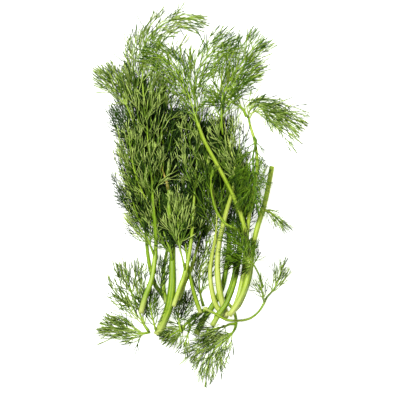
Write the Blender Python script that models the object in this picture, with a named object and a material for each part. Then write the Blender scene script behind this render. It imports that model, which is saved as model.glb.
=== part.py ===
"""A loose bunch of cut dill lying on a flat surface: stalks and feathery fronds laid one over another.

Lengths in the tables are millimetres. +Y points to the leafy end, +X to the right, +Z up.
The surface it lies on is z = 0.
"""

import math
import random
from collections import namedtuple

import bmesh
import bpy
import numpy as np
from mathutils import Vector

MM = 0.001
SEED = 11

# Driving dimensions
GAP = 0.35  # clear height kept between a piece and what lies under it
FOOT_BARE = 3.0  # length of rachis without pinnae where a frond goes on from its stalk
FOOT_GAP = 0.4  # clear length between a stalk's top end and the frond that goes on from it
STALK_STEP = 13.0  # length of stalk between two rings
EVEN_SHARE = 0.22  # share of a stalk at its foot that doesn't taper
RACHIS_STEP = 9.0
RACHIS_RADIUS = 0.95
RACHIS_TIP_RADIUS = 0.5
RIB_RADIUS = 0.58
RIB_TIP_RADIUS = 0.42
NEEDLE_SPACING = 3.2  # length of rib that one pair of needles stands on
COVERED_SPACING = 6.5  # the same on a frond that lies under others
NEEDLE_LENGTH = 10.5
NEEDLE_SLANT = math.radians(36)
NEEDLE_RISE = 0.9
NEEDLE_STEEPEST = 3.5  # the most a needle's tip stands over its foot; past that the needle is shorter
PINNA_ANGLE_FOOT = math.radians(56)
PINNA_ANGLE_TIP = math.radians(36)
PINNA_CURVE = math.radians(16)
BARE_SHARE = 0.24  # share of a pinna's rib that carries no needles

# The height map of what is already laid down
CELL = 1.0
HALF_COLUMNS = 95
HALF_ROWS = 155

PALE = "stem_pale"
GREEN = "stem_green"
LEAF = "frond_green"
BRIGHT = "frond_bright"
COLOURS = {
    PALE: ((0.50, 0.58, 0.17, 1.0), 0.45),
    GREEN: ((0.20, 0.38, 0.05, 1.0), 0.45),
    LEAF: ((0.055, 0.14, 0.02, 1.0), 0.6),
    BRIGHT: ((0.12, 0.25, 0.035, 1.0), 0.6),
}

# Fronds that others cover
COVERED = (
    "frond_deep_low",
    "frond_deep_left",
    "frond_deep_middle",
    "frond_deep_right",
    "frond_broad",
    "frond_thick",
    "frond_slender",
    "frond_pale_slim",
)

# How much a frond narrows to its tip, where that isn't NARROWING
NARROWING = 0.56
NARROWINGS = {
    "frond_trailing": 0.85,
    "frond_crest": 0.66,
    "spray_left": 0.72,
    "spray_left_up": 0.66,
    "spray_cut": 0.7,
    "frond_top_right": 0.4,
    "frond_long": 0.35,
}

# A stalk has a radius at its foot and at its top, and a route from its foot.
Stalk = namedtuple("Stalk", "name colour foot top route")

# A frond has the half width of its leafy part, a bare route that leads to that part, and the leafy route.
# With no bare route it goes on from the end of its stalk.
Frond = namedtuple("Frond", "name colour half bare route")

# Each leafy stem with its fronds, in the order they are laid down. Routes are seen from above.
LAID = [
    (
        Stalk("stalk_broad", GREEN, 2.1, 1.3,
            [(-2, -91), (3, -81), (9, -72), (15, -61), (18, -49), (20, -35), (20, -22), (18, -8)],
        ),
        [
            Frond("frond_broad", LEAF, 14, None, [(18, -8), (16, 8), (14, 24), (11, 40), (9, 58)]),
        ],
    ),
    (
        None,
        [
            Frond("frond_deep_low", LEAF, 9,
                [(3, -72), (1, -64)],
                [(1, -64), (0, -54), (2, -43), (5, -30), (5, -16)],
            ),
        ],
    ),
    (
        Stalk("stalk_deep_left", GREEN, 1.5, 1.1,
            [(-21, -71), (-25, -64), (-30, -57), (-33, -47), (-35, -35), (-36, -22)],
        ),
        [
            Frond("frond_deep_left", LEAF, 13,
                None,
                [(-36, -22), (-38, -5), (-40, 13), (-42, 30), (-43, 50)],
            ),
        ],
    ),
    (
        Stalk("stalk_deep_middle", GREEN, 1.6, 1.1,
            [(-22, -70), (-24, -60), (-24, -48), (-22, -36)],
        ),
        [
            Frond("frond_deep_middle", LEAF, 15,
                None,
                [(-22, -36), (-18, -18), (-15, 3), (-13, 24), (-11, 46), (-11, 66)],
            ),
        ],
    ),
    (
        Stalk("stalk_deep_right", GREEN, 1.6, 1.1,
            [(11, -80), (16, -72), (20, -63), (23, -53), (25, -42), (27, -30)],
        ),
        [
            Frond("frond_deep_right", LEAF, 11,
                None,
                [(27, -30), (26, -13), (23, 5), (21, 22), (19, 40)],
            ),
        ],
    ),
    (
        Stalk("stalk_thick", GREEN, 3, 1.4,
            [
                (-28, -91), (-24, -82), (-20, -71), (-18, -57), (-18, -42), (-18, -26), (-20, -8),
                (-21, 9),
            ],
        ),
        [
            Frond("frond_thick", LEAF, 15,
                None,
                [(-21, 9), (-25, 22), (-26, 37), (-24, 54), (-21, 70), (-17, 84)],
            ),
        ],
    ),
    (
        None,
        [
            Frond("spray_left", LEAF, 9,
                [(-33, -89), (-37, -90)],
                [(-37, -90), (-43, -90), (-52, -88), (-62, -85), (-72, -82)],
            ),
            Frond("spray_left_up", LEAF, 10,
                [(-34, -88), (-37, -84)],
                [(-37, -84), (-41, -74), (-46, -62), (-49, -50), (-51, -37)],
            ),
        ],
    ),
    (
        Stalk("stalk_trailing", GREEN, 1.1, 0.9, [(18, -68), (23, -74), (25, -81), (24, -88)]),
        [
            Frond("frond_trailing", LEAF, 14,
                None,
                [(24, -88), (18, -95), (11, -101), (7, -109), (5, -119), (4, -132)],
            ),
            Frond("spray_trailing", LEAF, 5,
                [(26, -84), (21, -84)],
                [(21, -84), (16, -86), (7, -88), (0, -90)],
            ),
        ],
    ),
    (
        Stalk("stalk_crossing", GREEN, 1.5, 1.2, [(6, -73), (1, -76), (-3, -79), (-7, -82)]),
        [
            Frond("spray_crossing", LEAF, 8.5, None, [(-7, -82), (-11, -86), (-17, -90), (-28, -95)]),
            Frond("spray_crossing_low", LEAF, 7,
                [(-5, -84), (-7, -89)],
                [(-7, -89), (-9, -96), (-12, -104)],
            ),
        ],
    ),
    (
        None,
        [
            Frond("spray_clump", LEAF, 8,
                [(-29, -89), (-30, -84)],
                [(-30, -84), (-32, -76), (-33, -67), (-32, -56)],
            ),
            Frond("spray_clump_right", LEAF, 6,
                [(-12, -89), (-13, -85)],
                [(-13, -85), (-14, -78), (-13, -70), (-11, -61)],
            ),
            Frond("frond_top_left", LEAF, 13,
                [(-36, 20), (-39, 34), (-42, 47)],
                [(-42, 47), (-45, 60), (-46, 72), (-46, 84), (-43, 97)],
            ),
            Frond("frond_upper", LEAF, 13,
                [(-24, 38), (-26, 50)],
                [(-26, 50), (-29, 64), (-31, 78), (-29, 92)],
            ),
            Frond("frond_hook", LEAF, 9,
                [(-39, 40), (-45, 55), (-49, 64)],
                [(-49, 64), (-54, 74), (-62, 84), (-72, 91)],
            ),
            Frond("frond_crest", LEAF, 11,
                [(-33, 34), (-36, 57), (-38, 78), (-38, 93)],
                [(-38, 93), (-37, 105), (-31, 114), (-21, 121), (-8, 123), (9, 118)],
            ),
        ],
    ),
    (
        Stalk("stalk_left", GREEN, 1.9, 1.2,
            [(-39, -76), (-36, -65), (-32, -54), (-30, -42), (-29, -27), (-30, -11), (-31, 1)],
        ),
        [
            Frond("frond_left", LEAF, 14, None, [(-31, 1), (-32, 18), (-34, 35), (-35, 53), (-34, 72)]),
            Frond("frond_left_edge", LEAF, 12,
                [(-30, -14), (-33, -5)],
                [(-33, -5), (-38, 5), (-43, 18), (-46, 34), (-48, 52)],
            ),
            Frond("frond_left_low", LEAF, 9,
                [(-30, -38), (-33, -30)],
                [(-33, -30), (-37, -20), (-42, -9), (-46, 4)],
            ),
        ],
    ),
    (
        None,
        [
            Frond("frond_thick_low", LEAF, 12,
                [(-18, -42), (-19, -35)],
                [(-19, -35), (-23, -24), (-26, -10), (-27, 6)],
            ),
        ],
    ),
    (
        Stalk("stalk_slender", GREEN, 1.3, 0.9,
            [(-14, -67), (-10, -57), (-6, -48), (-3, -39), (-1, -31)],
        ),
        [
            Frond("frond_slender", LEAF, 12, None, [(-1, -31), (3, -17), (5, -2), (6, 14)]),
        ],
    ),
    (
        Stalk("stalk_inner", GREEN, 1.5, 1, [(1, -76), (-2, -67), (-5, -56), (-7, -46), (-8, -38)]),
        [
            Frond("frond_inner", LEAF, 12, None, [(-8, -38), (-10, -22), (-11, -4), (-10, 16)]),
        ],
    ),
    (
        Stalk("stalk_middle", GREEN, 1.5, 1,
            [(-17, -71), (-14, -62), (-10, -51), (-7, -39), (-5, -25), (-4, -10), (-3, 4)],
        ),
        [
            Frond("frond_middle", LEAF, 15, None, [(-3, 4), (-2, 18), (-1, 34), (0, 50), (0, 66)]),
            Frond("frond_middle_side", LEAF, 9,
                [(-9, -48), (-11, -39), (-13, -31)],
                [(-13, -31), (-14, -19), (-14, -6), (-13, 8)],
            ),
        ],
    ),
    (
        Stalk("stalk_pale_slim", PALE, 1.8, 1.1,
            [(19, -80), (15, -76), (11, -70), (8.5, -60), (7.5, -49), (9, -37), (11, -26)],
        ),
        [
            Frond("frond_pale_slim", LEAF, 13, None, [(11, -26), (12, -10), (9, 8), (6, 26), (5, 44)]),
        ],
    ),
    (
        Stalk("stalk_pale_broad", PALE, 2.1, 1.3,
            [(19, -78), (16, -70), (13.5, -59), (12.5, -47), (13, -34), (15.5, -20), (19, -6), (23, 8)],
        ),
        [
            Frond("frond_pale_broad", LEAF, 13,
                None,
                [(23, 8), (24, 22), (21, 35), (18, 48), (15, 62)],
            ),
        ],
    ),
    (
        Stalk("stalk_cut", GREEN, 1.9, 1.7,
            [
                (21, -76), (27, -70), (31, -61), (34, -52), (35.5, -41), (37, -29), (40, -17),
                (44, -4), (47, 9), (49.5, 23),
            ],
        ),
        [
            Frond("spray_cut", LEAF, 6,
                [(43, -7), (45, -7)],
                [(45, -7), (49, -9), (54, -14), (60, -20)],
            ),
        ],
    ),
    (
        Stalk("stalk_green_slim", GREEN, 1.8, 1.1,
            [(9, -84), (13, -77), (18, -70), (22, -61), (25, -51), (27, -41), (29, -30), (30, -17)],
        ),
        [
            Frond("frond_green_slim", LEAF, 11,
                None,
                [(30, -17), (32, -3), (33, 10), (32, 22), (32, 34)],
            ),
        ],
    ),
    (
        None,
        [
            Frond("frond_top_right_low", BRIGHT, 10,
                [(14, 47), (16, 58), (17, 67)],
                [(17, 67), (21, 77), (28, 86), (36, 91), (46, 92)],
            ),
            Frond("frond_top_middle", BRIGHT, 11,
                [(2, 40), (-1, 56), (-3, 69)],
                [(-3, 69), (-2, 82), (3, 94), (11, 102), (20, 107), (31, 111)],
            ),
        ],
    ),
    (
        Stalk("stalk_arching", GREEN, 1.6, 0.9,
            [
                (21, -76), (25, -68), (28, -58), (30, -48), (31, -38), (32, -27), (34, -10),
                (37, 7), (39, 24), (37.5, 39), (34, 52),
            ],
        ),
        [
            Frond("frond_arching", LEAF, 15,
                None,
                [(34, 52), (34, 60), (40, 64), (50, 61), (61, 54), (73, 46)],
            ),
            Frond("frond_arching_left", BRIGHT, 11,
                [(32, 56), (29, 62)],
                [(29, 62), (22, 66), (12, 69), (0, 70)],
            ),
        ],
    ),
    (
        None,
        [
            Frond("frond_top_right", BRIGHT, 13,
                [(16, 44), (15, 58), (16, 70)],
                [(16, 70), (22, 83), (30, 94), (38, 104), (49, 112)],
            ),
            Frond("frond_hanging", BRIGHT, 9,
                [(38, 42), (38, 38)],
                [(38, 38), (36, 28), (37, 15), (38, 1), (41, -16)],
            ),
        ],
    ),
    (
        Stalk("stalk_long", GREEN, 1.8, 1.1,
            [
                (20, -77), (25, -70), (30, -60), (33, -48), (33, -34), (31, -21), (27, -7), (21, 7),
                (12, 24), (4, 39), (-1, 52),
            ],
        ),
        [
            Frond("frond_long", BRIGHT, 10,
                None,
                [(-1, 52), (-5, 65), (-9, 76), (-14, 86), (-21, 94), (-31, 99), (-43, 99)],
            ),
        ],
    ),
    (
        Stalk("stalk_thin", GREEN, 0.9, 0.8, [(32, -24), (26, -20), (18, -16), (12, -8), (9, 2)]),
        [
            Frond("spray_thin", BRIGHT, 7, None, [(9, 2), (8, 12), (10, 25)]),
            Frond("spray_front", BRIGHT, 11,
                [(43, -59), (41, -52), (37, -44), (33, -39)],
                [(33, -39), (28, -34), (21, -31), (12, -28)],
            ),
        ],
    ),
    (
        Stalk("stalk_loop", GREEN, 0.9, 0.7,
            [(3, -72), (11, -76), (18, -80), (26, -81), (34, -80), (40, -76), (44, -70), (46, -66)],
        ),
        [
            Frond("spray_loop", LEAF, 7, None, [(46, -66), (51, -60), (55, -51), (57, -39)]),
            Frond("spray_loop_back", LEAF, 5.5,
                [(43, -68), (43, -64)],
                [(43, -64), (42, -61), (40, -57), (39, -52)],
            ),
        ],
    ),
]


def clear_scene():
    for obj in list(bpy.data.objects):
        bpy.data.objects.remove(obj, do_unlink=True)


def new_collection(name):
    group = bpy.data.collections.new(name)
    bpy.context.scene.collection.children.link(group)
    return group


def make_materials():
    made = {}
    for slot, (colour, roughness) in COLOURS.items():
        material = bpy.data.materials.new(slot)
        material.use_nodes = True
        shader = material.node_tree.nodes["Principled BSDF"]
        shader.inputs["Base Color"].default_value = colour
        shader.inputs["Roughness"].default_value = roughness
        shader.inputs["Metallic"].default_value = 0.0
        made[slot] = material
    return made


# Routes


def curve_through(points, fine=16):
    """Catmull-Rom curve through the points, as many short steps."""
    ends = [2 * np.array(points[0]) - np.array(points[1])]
    ends += [np.array(p, float) for p in points]
    ends += [2 * np.array(points[-1]) - np.array(points[-2])]
    line = []
    for a, b, c, d in zip(ends, ends[1:], ends[2:], ends[3:]):
        for k in range(fine):
            t = k / fine
            bend = (2 * a - 5 * b + 4 * c - d) * t**2
            twist = (3 * b - a - 3 * c + d) * t**3
            line.append(0.5 * (2 * b + (c - a) * t + bend + twist))
    line.append(ends[-2])
    return np.array(line)


def evenly(line, step):
    """The same line in equal steps close to the step asked for."""
    along = np.concatenate([[0], np.cumsum(np.linalg.norm(np.diff(line, axis=0), axis=1))])
    count = max(2, int(round(along[-1] / step)) + 1)
    at = np.linspace(0, along[-1], count)
    return np.stack([np.interp(at, along, line[:, k]) for k in range(line.shape[1])], axis=1)


def length_of(line):
    return float(np.linalg.norm(np.diff(line, axis=0), axis=1).sum())


# The pile: the height already taken up in each cell


def cell_of(places):
    columns = np.rint(np.asarray(places)[..., 0] / CELL).astype(int) + HALF_COLUMNS
    rows = np.rint(np.asarray(places)[..., 1] / CELL).astype(int) + HALF_ROWS
    return columns, rows


def widened(pile, reach):
    """Each cell takes the highest value within reach of it."""
    out = pile.copy()
    steps = int(math.ceil(reach / CELL))
    for i in range(-steps, steps + 1):
        for j in range(-steps, steps + 1):
            if math.hypot(i, j) * CELL <= reach + 0.5 * CELL:
                out = np.maximum(out, np.roll(pile, (i, j), (0, 1)))
    return out


def softened(pile, half):
    """Each cell takes the mean of the square round it."""
    steps = int(round(half / CELL))
    total = np.zeros_like(pile)
    for i in range(-steps, steps + 1):
        for j in range(-steps, steps + 1):
            total += np.roll(pile, (i, j), (0, 1))
    return total / (2 * steps + 1) ** 2


def lay_on_pile(pile, obj):
    """Raises the pile to the top of a finished piece."""
    mesh = obj.data
    mesh.calc_loop_triangles()
    points = np.empty(len(mesh.vertices) * 3, np.float32)
    mesh.vertices.foreach_get("co", points)
    faces = np.empty(len(mesh.loop_triangles) * 3, np.int32)
    mesh.loop_triangles.foreach_get("vertices", faces)
    corners = (points.reshape(-1, 3) / MM)[faces.reshape(-1, 3)]
    longest = np.linalg.norm(corners - np.roll(corners, 1, axis=1), axis=2).max(axis=1)
    for corner, size in zip(corners, longest):
        count = int(size / 0.6) + 2
        steps = np.linspace(0, 1, count)
        u, v = np.meshgrid(steps, steps)
        keep = u + v <= 1.0001
        u, v = u[keep][:, None], v[keep][:, None]
        spots = corner[0] + u * (corner[1] - corner[0]) + v * (corner[2] - corner[0])
        columns, rows = cell_of(spots)
        np.maximum.at(pile, (columns, rows), spots[:, 2])


def running(values, window, pick):
    padded = np.pad(values, window, mode="edge")
    return np.array([pick(padded[k : k + 2 * window + 1]) for k in range(len(values))])


def rest_line(pile, line, radii, bend):
    """Heights of the middle of a springy stem that rests on the pile and bends over the length given."""
    cover = widened(pile, max(radii) + 1.0)
    columns, rows = cell_of(line)
    low = cover[columns, rows] + GAP + radii
    window = max(1, int(round(bend / 1.0)))
    high = running(low, window, np.max)
    return running(high, window, np.mean)


# Stalks


def tube(name, places, radii, sides, turn=0.0):
    """A closed tube along the places, as a mesh object."""
    curve = bpy.data.curves.new(name, "CURVE")
    curve.dimensions = "3D"
    curve.twist_mode = "Z_UP"
    curve.bevel_depth = MM
    curve.bevel_resolution = sides // 2 - 2
    curve.use_fill_caps = True
    spline = curve.splines.new("POLY")
    spline.points.add(len(places) - 1)
    for point, place, radius in zip(spline.points, places, radii):
        point.co = (place[0] * MM, place[1] * MM, place[2] * MM, 1.0)
        point.radius = radius
        point.tilt = turn
    source = bpy.data.objects.new(name + "_curve", curve)
    bpy.context.scene.collection.objects.link(source)
    bpy.context.view_layer.update()
    mesh = bpy.data.meshes.new_from_object(source)
    bpy.data.objects.remove(source, do_unlink=True)
    mesh.name = name
    tidy = bmesh.new()
    tidy.from_mesh(mesh)
    bmesh.ops.remove_doubles(tidy, verts=tidy.verts, dist=0.000002)
    bmesh.ops.recalc_face_normals(tidy, faces=tidy.faces)
    tidy.to_mesh(mesh)
    tidy.free()
    return mesh


def add_piece(name, mesh, material, group):
    mesh.materials.clear()
    mesh.materials.append(material)
    obj = bpy.data.objects.new(name, mesh)
    group.objects.link(obj)
    return obj


def stalk_radii(count, foot, top):
    """The foot keeps its radius over its first stretch."""
    share = np.clip((np.linspace(0, 1, count) - EVEN_SHARE) / (1 - EVEN_SHARE), 0, 1)
    return foot + (top - foot) * share


def flat_height(radius, sides):
    """From the middle of a tube to the flat it lies on."""
    return radius * math.cos(math.pi / sides)


def stalk_sides(foot):
    return 8 if foot > 1.7 else 6


def add_stalk(stalk, heights, line, material, group):
    sides = stalk_sides(stalk.foot)
    full = np.column_stack([line, heights])
    places = evenly(full, STALK_STEP)
    radii = stalk_radii(len(places), stalk.foot, stalk.top)
    places[:, 2] = np.maximum(places[:, 2], flat_height(radii, sides))
    turn = math.pi / 8 if sides == 8 else 0.0
    return add_piece(stalk.name, tube(stalk.name, places, radii, sides, turn), material, group)


# Fronds


def heading(angle):
    return np.array([math.cos(angle), math.sin(angle)])


def width_share(t, narrowing):
    """How long the pinnae are at each share of the frond's length."""
    opening = 0.62 + 0.38 * math.sin(min(1.0, t / 0.3) * math.pi / 2)
    return opening * (1 - narrowing * t**1.7)


def clear_height(cover, start, end, low):
    """The least height at the end of a straight needle for it to pass over the pile."""
    need = -1.0e9
    for share in (0.3, 0.45, 0.6, 0.75, 0.9, 1.0):
        spot = start + (end - start) * share
        columns, rows = cell_of(spot[:2])
        least = cover[columns, rows] + GAP
        need = max(need, (least - (1 - share) * low) / share)
    return need


def rib_section(place, along, radius):
    """Three corners round a rib: left, right and top, as seen along it."""
    side = Vector((-along[1], along[0], 0.0)).normalized()
    up = Vector((0.0, 0.0, 1.0))
    centre = Vector(place)
    return [
        (centre + side * radius * 0.87 - up * radius * 0.5) * MM,
        (centre - side * radius * 0.87 - up * radius * 0.5) * MM,
        (centre + up * radius) * MM,
    ]


def draw_out_needle(bm, face, place, angle, radius, reach, rise, cover):
    """Pokes one side of a rib and draws the middle out to a point, as far as the pile leaves room."""
    start = np.array(place)
    low = start[2] - 0.5 * radius
    for share in (1.0, 0.65, 0.35):
        tip = start.copy()
        tip[:2] += heading(angle) * reach * share
        tip[2] = max(start[2] + rise, clear_height(cover, start, tip, low) + 0.1, 0.1)
        if tip[2] < start[2] + NEEDLE_STEEPEST:
            poked = bmesh.ops.poke(bm, faces=[face])
            poked["verts"][0].co = Vector(tip) * MM
            return


def grow_pinna(spots, headings, radii, bare, reach, cover, tilt, draw):
    """A slim rib grown face by face, its sides drawn out to needles and its end to a point."""
    bm = bmesh.new()
    first = rib_section(spots[0], headings[0], radii[0])
    face = bm.faces.new([bm.verts.new(corner) for corner in first])
    rim = list(face.edges)
    sides = []
    for k in range(1, len(spots) - 1):
        face = bmesh.ops.extrude_discrete_faces(bm, faces=[face])["faces"][0]
        for vert, corner in zip(face.verts, rib_section(spots[k], headings[k], radii[k])):
            vert.co = corner
        sides.append([next(f for f in edge.link_faces if f != face) for edge in face.edges])
    bmesh.ops.contextual_create(bm, geom=rim)
    end = bmesh.ops.poke(bm, faces=[face])["verts"][0]
    end.co = Vector(spots[-1]) * MM
    for k in range(bare, len(sides)):
        middle = (np.array(spots[k]) + np.array(spots[k + 1])) / 2
        way = math.atan2(*(np.array(spots[k + 1]) - np.array(spots[k]))[1::-1])
        for which, hand in ((1, -1), (2, 1)):
            angle = way + hand * NEEDLE_SLANT * draw.uniform(0.85, 1.2)
            rise = tilt * hand * NEEDLE_RISE + draw.uniform(-0.2, 0.3)
            size = reach * draw.uniform(0.85, 1.12)
            draw_out_needle(bm, sides[k][which], middle, angle, radii[k], size, rise, cover)
    bmesh.ops.triangulate(bm, faces=[f for f in bm.faces if len(f.verts) > 3])
    bmesh.ops.recalc_face_normals(bm, faces=bm.faces)
    mesh = bpy.data.meshes.new("pinna")
    bm.to_mesh(mesh)
    bm.free()
    return mesh


def pinna_rib(start, angle, hand, length, needle_share, spacing, settle):
    """Places along one pinna's rib, from inside the rachis to its tip."""
    bare = length * BARE_SHARE
    leafy = length - bare - needle_share
    count = max(1, int(round(leafy / spacing)))
    marks = [0.0, bare] + [bare + leafy * (k + 1) / count for k in range(count)] + [length]
    spot = np.array(start[:2], float)
    spots = [np.array(start, float)]
    headings = [heading(angle)]
    for before, after in zip(marks, marks[1:]):
        way = heading(angle - hand * PINNA_CURVE * (before + after) / (2 * length))
        spot = spot + way * (after - before)
        spots.append(np.array([spot[0], spot[1], settle(spot, math.dist(spot, start[:2]), start[2])]))
        headings.append(way)
    return spots, headings


def lift_clear(spots, radii, cover):
    """Raises a rib's places, past the one in the rachis, until all its stretches are clear of the pile."""
    for _ in range(6):
        for k in range(1, len(spots)):
            for share in (0.25, 0.5, 0.75, 1.0):
                spot = spots[k - 1] + (spots[k] - spots[k - 1]) * share
                columns, rows = cell_of(spot[:2])
                short = cover[columns, rows] + GAP + 0.5 * radii[min(k, len(radii) - 1)] - spot[2]
                if short > 0:
                    spots[k][2] += short
                    if k > 1:
                        spots[k - 1][2] += short


def frond_parts(core, bare, stop, total, frond, pile, draw):
    """The meshes of a frond's pinnae along its rachis, past the bare length, with its terminal one."""
    near = widened(pile, 1.6)
    carpet = softened(widened(pile, 3.0), 2.0)
    along = np.concatenate([[0], np.cumsum(np.linalg.norm(np.diff(core, axis=0), axis=1))])
    narrowing = NARROWINGS.get(frond.name, NARROWING)
    spacing = COVERED_SPACING if frond.name in COVERED else NEEDLE_SPACING
    pitch = max(6.0, min(12.0, 0.97 * frond.half))
    count = max(2, int(round((stop - bare) / pitch)))

    def settle(spot, away, height):
        columns, rows = cell_of(spot)
        rest = carpet[columns, rows] + GAP + 0.3
        sunk = height - 0.18 * away
        return max(rest, sunk, 0.35)

    def at(distance):
        return np.array([np.interp(distance, along, core[:, k]) for k in range(3)])

    meshes = []
    for k in range(count):
        distance = bare + (stop - bare) * (k + 0.35) / count
        share = (distance - bare) / (total - bare)
        place = at(distance)
        ahead = at(min(stop, distance + 2.5)) - at(max(0.0, distance - 2.5))
        way = math.atan2(ahead[1], ahead[0])
        open_angle = PINNA_ANGLE_FOOT + (PINNA_ANGLE_TIP - PINNA_ANGLE_FOOT) * share
        for hand in (-1, 1):
            angle = open_angle * draw.uniform(0.9, 1.1)
            length = frond.half * width_share(share, narrowing) / math.sin(open_angle)
            length *= draw.uniform(0.92, 1.1)
            add_pinna(meshes, place, way + hand * angle, hand, length, spacing, near, settle, draw)
    foot = at(stop - 0.8)
    ahead = at(stop) - at(stop - 3.0)
    way = math.atan2(ahead[1], ahead[0])
    add_pinna(meshes, foot, way, 0, total - stop + 1.0, spacing, near, settle, draw)
    return meshes


def add_pinna(meshes, place, angle, hand, length, spacing, near, settle, draw):
    reach = min(NEEDLE_LENGTH, 0.62 * length)
    end = min(5.5, 0.33 * length)
    spots, headings = pinna_rib(place, angle, hand, length, end, spacing, settle)
    radii = list(np.linspace(RIB_RADIUS, RIB_TIP_RADIUS, len(spots)))
    lift_clear(spots, radii, near)
    meshes.append(grow_pinna(spots, headings, radii, 1, reach, near, hand if hand else 0.4, draw))


def fuse(name, core, parts, material, group):
    """One Boolean union of a core with the loose parts that grow from it."""
    loose = bpy.data.collections.new("loose_parts")
    bpy.context.scene.collection.children.link(loose)
    for mesh in parts:
        loose.objects.link(bpy.data.objects.new("loose_part", mesh))
    obj = add_piece(name, core, material, group)
    union = obj.modifiers.new("union", "BOOLEAN")
    union.operation = "UNION"
    union.operand_type = "COLLECTION"
    union.collection = loose
    union.solver = "MANIFOLD"
    bpy.context.view_layer.update()
    graph = bpy.context.evaluated_depsgraph_get()
    joined = bpy.data.meshes.new_from_object(obj.evaluated_get(graph))
    obj.modifiers.clear()
    obj.data = joined
    joined.name = name
    joined.materials.clear()
    joined.materials.append(material)
    for part in list(loose.objects):
        bpy.data.objects.remove(part, do_unlink=True)
    bpy.data.collections.remove(loose)
    return obj


def add_frond(frond, line, heights, bare, pile, material, group, draw):
    """A rachis with its pinnae. The first stretch, of the bare length, carries none."""
    total = length_of(line)
    stop = total - min(10.0, 0.9 * frond.half)
    along = np.concatenate([[0], np.cumsum(np.linalg.norm(np.diff(line, axis=0), axis=1))])
    places = evenly(np.column_stack([line, heights])[along <= stop], RACHIS_STEP)
    radii = np.linspace(RACHIS_RADIUS, RACHIS_TIP_RADIUS, len(places))
    places[:, 2] = np.maximum(places[:, 2], radii)
    stop = length_of(places)
    total = max(total, stop + 6.0)
    parts = frond_parts(places, bare, stop, total, frond, pile, draw)
    return fuse(frond.name, tube(frond.name, places, radii, 4), parts, material, group)


# Laying the bunch


def joined_route(first, second):
    return list(first) + [p for p in second if tuple(p) != tuple(first[-1])]


def lay_down(stalk, fronds, pile, materials, group, draw):
    """One leafy stem: its stalk with the frond that goes on from it, then the fronds that branch off."""
    going_on = [frond for frond in fronds if frond.bare is None]
    if stalk is not None:
        lay_with_stalk(stalk, going_on[0] if going_on else None, pile, materials, group, draw)
    for frond in fronds:
        if frond.bare is not None:
            lay_branch(frond, pile, materials, group, draw)


def foot_clearance(before, after, top):
    """How far past the end of a stalk its frond starts, to be clear of it where the two bend apart."""
    cosine = np.dot(before, after) / (np.linalg.norm(before) * np.linalg.norm(after))
    return FOOT_GAP + (0.6 * top + RACHIS_RADIUS) * math.sqrt(max(0.0, 1 - cosine**2))


def lay_with_stalk(stalk, frond, pile, materials, group, draw):
    foot, top, route = stalk.foot, stalk.top, stalk.route
    sides = stalk_sides(foot)
    whole = evenly(curve_through(joined_route(route, frond.route if frond else [])), 1.0)
    meet = int(np.argmin(np.linalg.norm(whole - np.array(route[-1]), axis=1)))
    low = np.full(len(whole), RACHIS_RADIUS)
    low[: meet + 1] = flat_height(stalk_radii(meet + 1, foot, top), sides)
    heights = rest_line(pile, whole, low, 6 + 3 * foot)
    stem = add_stalk(stalk, heights[: meet + 1], whole[: meet + 1], materials[stalk.colour], group)
    lay_on_pile(pile, stem)
    if frond:
        full = np.column_stack([whole, heights])
        beyond = full[min(meet + 9, len(full) - 1)] - full[meet]
        clear = foot_clearance(full[meet] - full[meet - 12], beyond, top)
        first = meet + int(clear)
        blade_line = evenly(full[first:], 1.0)
        blade_line[0] += (blade_line[1] - blade_line[0]) * (clear - int(clear))
        flat, high = blade_line[:, :2], blade_line[:, 2]
        blade = add_frond(frond, flat, high, FOOT_BARE, pile, materials[frond.colour], group, draw)
        lay_on_pile(pile, blade)


def lay_branch(frond, pile, materials, group, draw):
    bare = length_of(curve_through(frond.bare))
    line = evenly(curve_through(joined_route(frond.bare, frond.route)), 1.0)
    heights = rest_line(pile, line, np.full(len(line), RACHIS_RADIUS), 7)
    blade = add_frond(frond, line, heights, bare, pile, materials[frond.colour], group, draw)
    lay_on_pile(pile, blade)


def centre_bunch(group):
    """Moves the bunch to stand on z = 0 with the middle of its outline over the origin."""
    corners = np.array([v.co for obj in group.objects for v in obj.data.vertices])
    low, high = corners.min(axis=0), corners.max(axis=0)
    shift = Vector((-(low[0] + high[0]) / 2, -(low[1] + high[1]) / 2, -low[2]))
    for obj in group.objects:
        for vert in obj.data.vertices:
            vert.co += shift
        obj.data.update()


def build():
    clear_scene()
    group = new_collection("dill_bunch")
    materials = make_materials()
    pile = np.full((2 * HALF_COLUMNS + 1, 2 * HALF_ROWS + 1), -GAP)
    draw = random.Random(SEED)
    for stalk, fronds in LAID:
        lay_down(stalk, fronds, pile, materials, group, draw)
    centre_bunch(group)


build()
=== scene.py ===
"""The dressed bunch of dill: ridged stalks and feathery fronds where the frame has plain ones.

Tables and lengths are millimetres, in the frame's own directions: +Y to the leafy end, +Z up.
"""

import math
import random
from collections import namedtuple

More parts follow.
